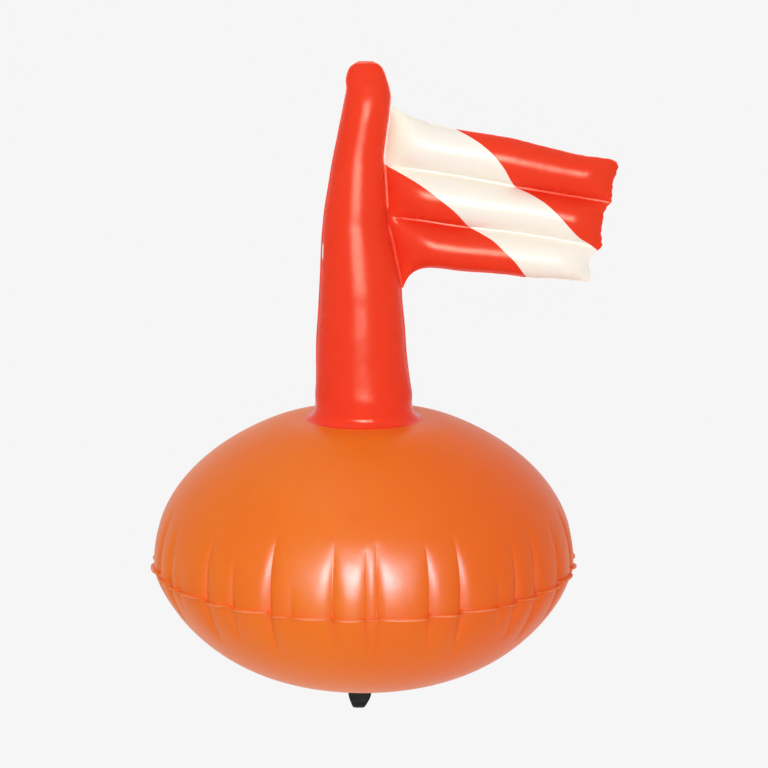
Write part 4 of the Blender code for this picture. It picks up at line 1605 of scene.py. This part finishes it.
@dataclass
class Stripe:
    """The diagonal white film on both faces of the flag."""

    flag: Flag
    film: float = 0.00015
    lift: float = 0.0001
    columns: int = 70
    # The stripe's long edges as (height, x), as they look from the camera on the plane y = 0
    lower: SmoothLine = SmoothLine(
        (
            (0.240, 0.1600), (0.256, 0.1429), (0.2695, 0.1322), (0.278, 0.1234), (0.288, 0.1129),
            (0.295, 0.1015), (0.300, 0.0928), (0.3135, 0.0796), (0.324, 0.0666), (0.337, 0.0491),
            (0.3475, 0.0318), (0.3545, 0.0188), (0.375, -0.0250), (0.420, -0.1200),
        )
    )  # fmt: skip
    upper: SmoothLine = SmoothLine(
        (
            (0.240, 0.2500), (0.262, 0.2236), (0.279, 0.2045), (0.285, 0.1975), (0.291, 0.1878),
            (0.309, 0.1710), (0.321, 0.1578), (0.330, 0.1429), (0.335, 0.1325), (0.353, 0.1210),
            (0.366, 0.1096), (0.376, 0.0966), (0.3857, 0.0792), (0.400, 0.0500), (0.420, 0.0100),
        )
    )  # fmt: skip

    def _seen(self, points: np.ndarray) -> tuple[np.ndarray, np.ndarray]:
        """Draws points on the plane y = 0 as the camera sees them.

        Args:
            points: Points in the ball's frame.

        Returns:
            x and height on that plane.
        """
        eye = np.array(CAMERA_PLACE) - BALL_ORIGIN
        reach = -eye[1] / (points[:, 1] - eye[1])
        seen = eye + (points - eye) * reach[:, None]
        return seen[:, 0], seen[:, 2]

    def _limits(self, rows: np.ndarray) -> tuple[np.ndarray, np.ndarray]:
        """Finds where each row of the flag enters and leaves the stripe.

        Args:
            rows: Stations across the flag.

        Returns:
            The stations along the flag at the stripe's two edges.
        """
        along = np.linspace(0.0, 1.0, 801)
        starts, ends = [], []
        for row in rows:
            x, z = self._seen(self.flag.surface(along, np.full_like(along, row), Side.FRONT))
            starts.append(np.interp(0.0, np.maximum.accumulate(x - self.lower.at(z)), along))
            ends.append(np.interp(0.0, np.maximum.accumulate(x - self.upper.at(z)), along))
        return np.array(starts), np.array(ends)

    def _lifted(self, along: np.ndarray, across: np.ndarray, side: Side) -> np.ndarray:
        """Gives the stripe's outer face over the flag's film.

        Args:
            along: Stations along the flag.
            across: Stations across it.
            side: Front or back.

        Returns:
            Points in the ball's frame.
        """
        flag, step = self.flag, 0.001
        high = np.clip(across + step, 0.0, 3.0)
        low = np.clip(across - step, 0.0, 3.0)
        far = np.clip(along + step, 0.0, 1.0)
        near = np.clip(along - step, 0.0, 1.0)
        up = flag.surface(along, high, side) - flag.surface(along, low, side)
        out = flag.surface(far, across, side) - flag.surface(near, across, side)
        normal = np.cross(out, up) * side.value * -1
        normal /= np.linalg.norm(normal, axis=1)[:, None]
        normal *= np.sign(normal[:, 1] * side.value)[:, None]
        return flag.surface(along, across, side) + normal * (self.film + self.lift)

    def build(self) -> None:
        """Makes the film on both faces and fastens it."""
        rows = self.flag.rows()
        starts, ends = self._limits(rows)
        inside = ends - starts > 0.002
        rows, starts, ends = rows[inside], starts[inside], ends[inside]
        index = np.arange(len(rows), dtype=float)
        shares = np.linspace(0.0, 1.0, self.columns + 1)
        share, number = stations(shares, index)
        k = number.astype(int)
        along, across = starts[k] + share * (ends[k] - starts[k]), rows[k]
        for name, side, node in (
            ("stripe_front_film", Side.FRONT, "stripe_front"),
            ("stripe_back_film", Side.BACK, "stripe_back"),
        ):
            points = self._lifted(along, across, side)
            piece = Piece.film(name, shares, index, lambda share, number: points)
            piece.face_along(side.outward)
            piece.paint("weld", self.flag.weld_highlights(along, across, 2.2))
            # Painted tint near the hoist, towards the deep tone, that cancels the red light bounced from the
            # mast; the film there is rougher too
            piece.paint("painted_light", 0.9 * (1 - fade(along, 0.0, 0.16)))
            piece.settle()
            piece.thicken(self.film)
            piece.smooth(50.0)
            piece.finish(STRIPE_VINYL.material(), Slot.STRIPE_FILM, Body.FLAG, [node])


@dataclass
class Valve:
    """The inflation valve behind the mast: flange and stem, inner flap, plug and its strap."""

    flange_radius: float = 0.013
    flange: float = 0.0012
    stem_radius: float = 0.0058
    bore: float = 0.0036
    stem_height: float = 0.012
    nozzle_radius: float = 0.0052
    nozzle_depth: float = 0.005
    flap: float = 0.0008
    cap_radius: float = 0.007
    cap: float = 0.0026
    reach: float = 0.008
    chamfer: float = 0.0004
    strap_half_width: float = 0.0015
    strap_film: float = 0.0008
    # How far the strap bows out from a straight line
    strap_bow: float = 0.009
    sides: int = 64

    def _profile(self, name: str, profile: Sequence[tuple[float, float]]) -> Piece:
        """Turns a closed (radius, height) profile about Z.

        Args:
            name: The piece's name.
            profile: Its corners.

        Returns:
            The turned piece, with rounded edges.
        """
        corners = np.array(list(profile) + [profile[0]])

        def place(turn: np.ndarray, station: np.ndarray) -> np.ndarray:
            """Gives the profile's corners at a turn."""
            r, z = corners[station.astype(int)].T
            return np.column_stack((r * np.cos(turn), r * np.sin(turn), z))

        piece = Piece.lathe(name, self.sides, np.arange(len(corners), dtype=float), place)
        piece.bevel(0.00025)
        return piece

    def body(self) -> Piece:
        """Makes the flange, stem and nozzle round one bore.

        Returns:
            The turned piece.
        """
        top = GAP + self.flange
        return self._profile(
            "valve_stem",
            (
                (self.bore, self.stem_height),
                (self.stem_radius, self.stem_height),
                (self.stem_radius, top + 0.0015),
                (self.stem_radius + 0.0011, top),
                (self.flange_radius - 0.0012, top),
                (self.flange_radius, GAP + self.chamfer),
                (self.flange_radius, GAP),
                (self.nozzle_radius, GAP),
                (self.nozzle_radius, -self.nozzle_depth),
                (self.bore, -self.nozzle_depth),
            ),
        )

    def plug(self) -> Piece:
        """Makes the stopper, with a dished top and a grip groove round its cap.

        Returns:
            The turned piece.
        """
        under = self.stem_height + GAP
        high = under + self.cap
        stem = self.bore - GAP
        return self._profile(
            "valve_stopper",
            (
                (0.0, high - self.chamfer),
                (self.cap_radius - 0.0022, high - self.chamfer),
                (self.cap_radius - 0.0016, high),
                (self.cap_radius - self.chamfer, high),
                (self.cap_radius, high - self.chamfer),
                (self.cap_radius, under + 0.0016),
                (self.cap_radius - 0.0005, under + 0.0013),
                (self.cap_radius, under + 0.0010),
                (self.cap_radius, under + 0.0002),
                (self.cap_radius - 0.0002, under),
                (stem, under),
                (stem, under - self.reach / 2),
                (stem - 0.0006, under - self.reach),
                (0.0, under - self.reach),
            ),
        )

    def flap_disc(self) -> Piece:
        """Makes the non-return disc under the nozzle.

        Returns:
            The disc.
        """
        high = -self.nozzle_depth - GAP / 2
        piece = Piece.cylinder("valve_flap_disc", self.nozzle_radius, high - self.flap, high, self.sides)
        piece.bevel(0.0002)
        return piece

    def strap(self) -> Piece:
        """Makes the strap that keeps the plug on the valve.

        Returns:
            The bowed strap.
        """
        low = GAP + self.flange + GAP + self.strap_film / 2
        high = self.stem_height + GAP + self.cap / 2
        start, end = self.flange_radius - 0.003, self.cap_radius + GAP

        def place(along: np.ndarray, across: np.ndarray) -> np.ndarray:
            """Draws the strap's middle face, wider at both ends.

            Args:
                along: 0 to 1 from the flange to the cap.
                across: -1 to 1 over its width.

            Returns:
                The points, one row each.
            """
            turn = math.pi * (along - 0.5)
            x = start + (end - start) * along + self.strap_bow * np.cos(turn)
            z = (low + high) / 2 + (high - low) / 2 * np.sin(turn)
            ends = 1 + 0.25 * (np.exp(-along / 0.06) + np.exp(-(1 - along) / 0.06))
            return np.column_stack((x, across * self.strap_half_width * ends, z))

        piece = Piece.film("plug_strap", np.linspace(0.0, 1.0, 49), np.linspace(-1.0, 1.0, 5), place)
        piece.modify("SOLIDIFY", thickness=self.strap_film, offset=0.0)
        piece.bevel(0.0002, angle=60.0)
        return piece

    def build(self) -> None:
        """Makes the valve's pieces and fastens them."""
        body, plug, flap, strap = self.body(), self.plug(), self.flap_disc(), self.strap()
        for piece, node, rides in (
            (body, "valve_body", Body.BUOY),
            (plug, "valve_plug", Body.PLUG),
            (flap, "valve_flap", Body.FLAP),
            (strap, "plug_tether", None),
        ):
            piece.settle(VALVE_SEAT)
            piece.smooth(35.0)
            piece.finish(BLACK_MOULDING.material(), Slot.BLACK_MOULDING, rides, [node])
        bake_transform(strap.obj)


@dataclass
class Bottom:
    """What the ball's underside carries: the doubling patch, the lug, and the ballast in its pocket."""

    ball: BallShape
    patch_radius: float = 0.045
    patch: float = 0.0006
    # How far the patch's upper face lies under the belly's profile, and how wide its rim is feathered
    patch_seat: float = 0.0007
    feather: float = 0.0015
    # The line eye's place in the ball's frame, its radius, and how far the tongue goes on below it
    eye: float = -0.1277
    sidestep: float = -0.0042
    eye_radius: float = 0.0045
    tongue_tip: float = 0.0098
    # Half the tongue's width to the left and right: at its end, at two heights over it, and at its root
    tongue_rises: tuple[float, float] = (0.0062, 0.0125)
    tongue_left: tuple[float, ...] = (0.0056, 0.0077, 0.0097, 0.0118)
    tongue_right: tuple[float, ...] = (0.0040, 0.0072, 0.0102, 0.0130)
    # Half the tongue's depth at its root, the fillet there, and how square its section is
    root_half: float = 0.013
    fillet: float = 0.0030
    squareness: float = 0.28
    # How the tongue's rows draw together towards its root
    tongue_ease: float = 1.15
    flange_radius: float = 0.028
    flange: float = 0.0015
    ballast_radius: float = 0.035
    ballast_height: float = 0.007
    # How high the ballast and its pocket lie over the belly's outer face
    ballast_lift: float = 0.0012
    pocket_wall: float = 0.0353
    pocket_film: float = 0.0006
    # The pocket's rim on the belly: its width, and its clearance where the belly is lowest
    pocket_rim: float = 0.010
    pocket_clear: float = 0.0009
    # How far the pocket's shoulder stands out
    pocket_bulge: float = 0.0012

    def _seat(self, radius: np.ndarray | float) -> np.ndarray:
        """Height of the patch's underside."""
        return self.ball.height(radius, Half.LOWER) - self.patch_seat - self.patch

    def patch_disc(self) -> Piece:
        """Makes the doubling patch, a thin disc with a feathered rim.

        Returns:
            The patch.
        """

        def place(turn: np.ndarray, v: np.ndarray) -> np.ndarray:
            """Draws the top face up to station 1, and the underside back from there.

            Args:
                turn: Turn round the axis, in radians.
                v: Stations along the section.

            Returns:
                The points, one row each.
            """
            top = v < 1
            r = np.where(top, v, 2 - v) * self.patch_radius
            base = self.ball.height(r, Half.LOWER) - self.ball.film
            rim = self.patch_radius
            thick = self.patch * (1 - fade(r, rim - self.feather, rim + 0.0001))
            z = np.where(top, base, base - thick)
            return np.column_stack((r * np.cos(turn), r * np.sin(turn), z))

        half = runs((0.0, 0.95, 16), (0.95, 1.0, 7))
        return Piece.lathe("belly_patch", 96, np.concatenate((half, 2 - half[-2::-1])), place)

    def _tongue(
        self, turn: np.ndarray, z: np.ndarray, tip: float, root: float
    ) -> tuple[np.ndarray, np.ndarray]:
        """Gives the lug's tongue, round below the eye and filleted into its flange.

        Args:
            turn: Turn round the tongue, in radians.
            z: Heights.
            tip: Height of the tongue's end.
            root: Height of the flange's underside.

        Returns:
            x and y of the points.
        """
        heights = (tip, *(tip + rise for rise in self.tongue_rises), root)
        left = SmoothLine(tuple(zip(heights, self.tongue_left)))
        right = SmoothLine(tuple(zip(heights, self.tongue_right)))
        c, s = np.cos(turn), np.sin(turn)
        below = share_of((self.eye - z) / self.tongue_tip)
        round_end = self.tongue_tip * np.sqrt(share_of(1 - below**2))
        widening = share_of((z - self.eye) / (root - self.eye))
        flank = self.tongue_tip + (self.root_half - self.tongue_tip) * widening
        x_half = np.where(c < 0, left.at(z), right.at(z))
        x_half = x_half * np.where(z < self.eye, (1 - below**14) ** 0.5, 1.0)
        y_half = np.where(z < self.eye, round_end, flank)
        near_root = share_of(1 - (root - z) / self.fillet)
        grown = self.fillet * (1 - np.sqrt(share_of(1 - near_root**2)))
        x = (x_half + grown) * np.sign(c) * np.abs(c) ** self.squareness
        y = (y_half + grown) * np.sign(s) * np.abs(s) ** self.squareness
        return x, y

    def lug(self) -> Piece:
        """Makes the moulded tongue on its welded flange, and drills the line eye.

        Returns:
            The lug.
        """
        tip = self.eye - self.tongue_tip
        root = float(self._seat(0.0)) - self.flange

        def place(turn: np.ndarray, v: np.ndarray) -> np.ndarray:
            """Draws the tongue to station 1, the flange's underside to 2, its rim to 3, its top to 4.

            Args:
                turn: Turn round the axis, in radians.
                v: Stations along the section.

            Returns:
                The points, one row each.
            """
            c, s = np.cos(turn), np.sin(turn)
            z = tip + (root - tip) * np.sin(share_of(v) * QUARTER_TURN) ** self.tongue_ease
            x, y = self._tongue(turn, z, tip, root)
            spread = share_of(v - 1.0)
            x = x + spread * (self.flange_radius * c - x)
            y = y + spread * (self.flange_radius * s - y)
            r = np.hypot(x, y)
            under = self._seat(r) - self.flange * (1 - 0.45 * fade(r, 0.018, self.flange_radius))
            z = np.where(v > 1, root + (under - root) * fade(spread, 0.0, 0.25), z)
            z = np.where(v > 1.999, under, z)
            over = share_of(v - 2.0)
            edge_r = self.flange_radius + 0.0003 * np.sin(over * math.pi)
            z_edge = under + (self._seat(self.flange_radius) - under) * over
            r_top = self.flange_radius * (1 - share_of(v - 3.0))
            x = np.where(v > 3, r_top * c, np.where(v > 2, edge_r * c, x))
            y = np.where(v > 3, r_top * s, np.where(v > 2, edge_r * s, y))
            z = np.where(v > 3, self._seat(r_top), np.where(v > 2, z_edge, z))
            pole = v <= 0
            x = np.where(pole, 0.0, x) + self.sidestep * share_of(2.0 - v)
            return np.column_stack((x, np.where(pole, 0.0, y), z))

        rows = runs((0.0, 1.0, 60), (1.0, 2.0, 24), (2.0, 3.0, 5), (3.0, 4.0, 10))
        piece = Piece.lathe("eye_lug", 128, rows, place)
        cutter = Piece.cylinder("eye_hole", self.eye_radius, -0.03, 0.03, 64)
        across = Matrix.Rotation(QUARTER_TURN, 4, "Y")
        cutter.settle(Matrix.Translation((self.sidestep, 0.0, self.eye)) @ across)
        piece.drill(cutter)
        return piece

    def ballast(self) -> Piece:
        """Makes the cast ballast disc that lies in the bottom of the ball.

        Returns:
            The disc, with its upper face sunk.
        """
        low = float(self.ball.height(self.ballast_radius, Half.LOWER)) + self.ballast_lift
        piece = Piece.cylinder("ballast_disc", self.ballast_radius, low, low + self.ballast_height, 96)
        piece.edit()
        piece.pick_faces(lambda co: math.hypot(co.x, co.y) < 0.001)
        bpy.ops.mesh.inset(thickness=0.006, depth=-0.0006)
        piece.done()
        piece.bevel(0.0012, 4)
        return piece

    def pocket(self) -> Piece:
        """Makes the film pocket that holds the ballast against the belly.

        Returns:
            The finished film.
        """
        wall, lift = self.pocket_wall, self.ballast_lift
        floor = self.ball.height(np.array([wall]), Half.LOWER)[0] + self.pocket_clear
        roof = float(self.ball.height(self.ballast_radius, Half.LOWER)) + lift + self.ballast_height + GAP

        def place(turn: np.ndarray, v: np.ndarray) -> np.ndarray:
            """Draws the roof, its shoulder about station 1, and the rim on the belly.

            Args:
                turn: Turn round the axis, in radians.
                v: Stations along the section.

            Returns:
                The points, one row each.
            """
            r = np.where(v < 1, v * wall, wall + (v - 1) * self.pocket_rim)
            shoulder = fade(v, 0.80, 1.12)
            film = self.ball.height(np.clip(r, wall, None), Half.LOWER) + lift
            top = roof + self.pocket_film
            z = np.where(v < 0.8, top, top + (film - roof - self.pocket_film) * shoulder)
            r = r + self.pocket_bulge * np.sin(math.pi * share_of((v - 0.8) / 0.4))
            return np.column_stack((r * np.cos(turn), r * np.sin(turn), np.maximum(z, floor)))

        piece = Piece.lathe("ballast_sleeve", 96, runs((0.0, 0.8, 9), (0.8, 1.3, 24), (1.3, 2.0, 8)), place)
        piece.face_along(Vector((0.0, 0.0, 1.0)))
        piece.thicken(self.pocket_film)
        return piece

    def build(self) -> None:
        """Makes the underside's pieces and fastens them."""
        for piece, node, finish, slot in (
            (self.patch_disc(), "bottom_patch", BALL_VINYL, Slot.BALL_FILM),
            (self.lug(), "line_lug", BLACK_MOULDING, Slot.BLACK_MOULDING),
            (self.ballast(), "ballast_weight", CAST_BALLAST, Slot.BALLAST),
            (self.pocket(), "ballast_pocket", BALL_VINYL, Slot.BALL_FILM),
        ):
            piece.settle()
            piece.smooth(40.0)
            piece.finish(finish.material(), slot, Body.BUOY, [node])


@dataclass
class Studio:
    """The plain pale studio: floor, soft lamps above the camera and overhead, and even light all round."""

    # How bright the backdrop and the floor look, and how strongly they light the buoy
    backdrop: float = 0.921
    ambient: float = 0.65
    floor_shown: float = 0.933
    floor_glow: float = 1.05
    # How much of the floor is glow and not lit surface, as it looks and as it lights the buoy
    glow_shares: tuple[float, float] = (0.97, 0.45)
    floor_tone: Colour = (0.80, 0.80, 0.80)
    floor_height: float = -0.62
    floor_size: float = 90.0
    lamp_place: tuple[float, float, float] = (0.02, -2.35, 0.86)
    lamp_size: tuple[float, float] = (1.30, 0.98)
    lamp_power: float = 18.5
    glint_power: float = 560.0
    overhead_place: tuple[float, float, float] = (-0.5, -0.2, 2.3)
    overhead_size: tuple[float, float] = (0.9, 0.9)
    overhead_power: float = 6.0
    aim: tuple[float, float, float] = (0.03, 0.0, 0.25)

    def camera(self) -> None:
        """Sets the camera up as the photograph was taken."""
        data = bpy.data.cameras.new("Camera")
        data.lens, data.sensor_width = CAMERA_LENS, SENSOR_WIDTH
        data.clip_end = 120.0
        camera = bpy.data.objects.new("Camera", data)
        bpy.context.scene.collection.objects.link(camera)
        camera.location = CAMERA_PLACE
        camera.rotation_euler = (math.radians(CAMERA_TILT), 0.0, 0.0)
        bpy.context.scene.camera = camera

    def lamp(
        self, name: str, place: tuple[float, float, float], size: tuple[float, float], power: float
    ) -> bpy.types.Object:
        """Hangs one soft lamp and aims it at the buoy.

        Args:
            name: The lamp's name.
            place: Where it hangs.
            size: Its width and height.
            power: Its power in watts.

        Returns:
            The lamp.
        """
        data = bpy.data.lights.new(name, "AREA")
        data.shape = "RECTANGLE"
        data.size, data.size_y = size
        data.energy = power
        lamp = bpy.data.objects.new(name, data)
        bpy.context.scene.collection.objects.link(lamp)
        lamp.location = place
        lamp.rotation_euler = (Vector(self.aim) - Vector(place)).to_track_quat("-Z", "Y").to_euler()
        return lamp

    def lamps(self) -> None:
        """Hangs the key lamp, the glint that the films mirror in its place, and the overhead lamp."""
        key = self.lamp("KeySoftbox", self.lamp_place, self.lamp_size, self.lamp_power)
        key.visible_glossy = False
        glint = self.lamp("GlintSoftbox", self.lamp_place, self.lamp_size, self.glint_power)
        glint.visible_diffuse = False
        self.lamp("OverheadSoftbox", self.overhead_place, self.overhead_size, self.overhead_power)

    @staticmethod
    def _by_ray(nodes: Nodes, seen: float, lighting: float) -> bpy.types.NodeSocket:
        """Picks a value by what the ray is for.

        Args:
            nodes: The tree to work in.
            seen: Value for a ray from the camera, a mirror or through glass.
            lighting: Value for all other rays.

        Returns:
            The picked value.
        """
        path = nodes.add("ShaderNodeLightPath").outputs
        shown = nodes.math("MAXIMUM", path["Is Camera Ray"], path["Is Glossy Ray"])
        shown = nodes.math("MAXIMUM", shown, path["Is Transmission Ray"])
        return nodes.span(shown, 0.0, 1.0, lighting, seen)

    def world(self) -> None:
        """Lights the scene evenly from all round, and shows a pale backdrop."""
        world = bpy.data.worlds.new("Studio")
        bpy.context.scene.world = world
        world.use_nodes = True
        nodes = Nodes(world.node_tree)
        background = world.node_tree.nodes["Background"]
        background.inputs["Color"].default_value = (1.0, 1.0, 1.0, 1.0)
        nodes.put(background.inputs["Strength"], self._by_ray(nodes, self.backdrop, self.ambient))

    def floor(self) -> None:
        """Lays the pale floor, which keeps the buoy's shadow."""
        Piece.clear_bench()
        bpy.ops.mesh.primitive_plane_add(size=self.floor_size)
        piece = Piece("studio_floor")
        piece.settle(Matrix.Translation((0.0, 0.0, self.floor_height)))
        material = bpy.data.materials.new("PaleFloor")
        material.use_nodes = True
        nodes = Nodes(material.node_tree)
        shader = material.node_tree.nodes["Principled BSDF"]
        shader.inputs["Base Color"].default_value = rgba(self.floor_tone)
        shader.inputs["Roughness"].default_value = 1.0
        shader.inputs["Specular IOR Level"].default_value = 0.0
        glow = nodes.add("ShaderNodeEmission")
        nodes.put(glow.inputs["Strength"], self._by_ray(nodes, self.floor_shown, self.floor_glow))
        mix = nodes.add("ShaderNodeMixShader")
        for socket, value in zip(
            mix.inputs, (self._by_ray(nodes, *self.glow_shares), shader.outputs[0], glow.outputs[0])
        ):
            nodes.put(socket, value)
        nodes.put(material.node_tree.nodes["Material Output"].inputs["Surface"], mix.outputs[0])
        piece.obj.data.materials.append(material)

    def build(self) -> None:
        """Sets up the camera, lamps, world, floor and colour view."""
        self.camera()
        self.lamps()
        self.world()
        self.floor()
        bpy.context.scene.view_settings.view_transform = "Standard"


def main() -> None:
    """Builds the buoy and its studio."""
    logging.basicConfig(level=logging.INFO, format="%(relativeCreated)6.0f ms %(name)s: %(message)s")
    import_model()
    Studio().build()
    ball, mast = BallShape(), MastShape()
    Ball(ball).build()
    Mast(mast, ball).build()
    Flag(FlagShape(), mast).build()
    Valve().build()
    Bottom(ball).build()
    bpy.context.view_layer.update()


if __name__ == "__main__":
    main()
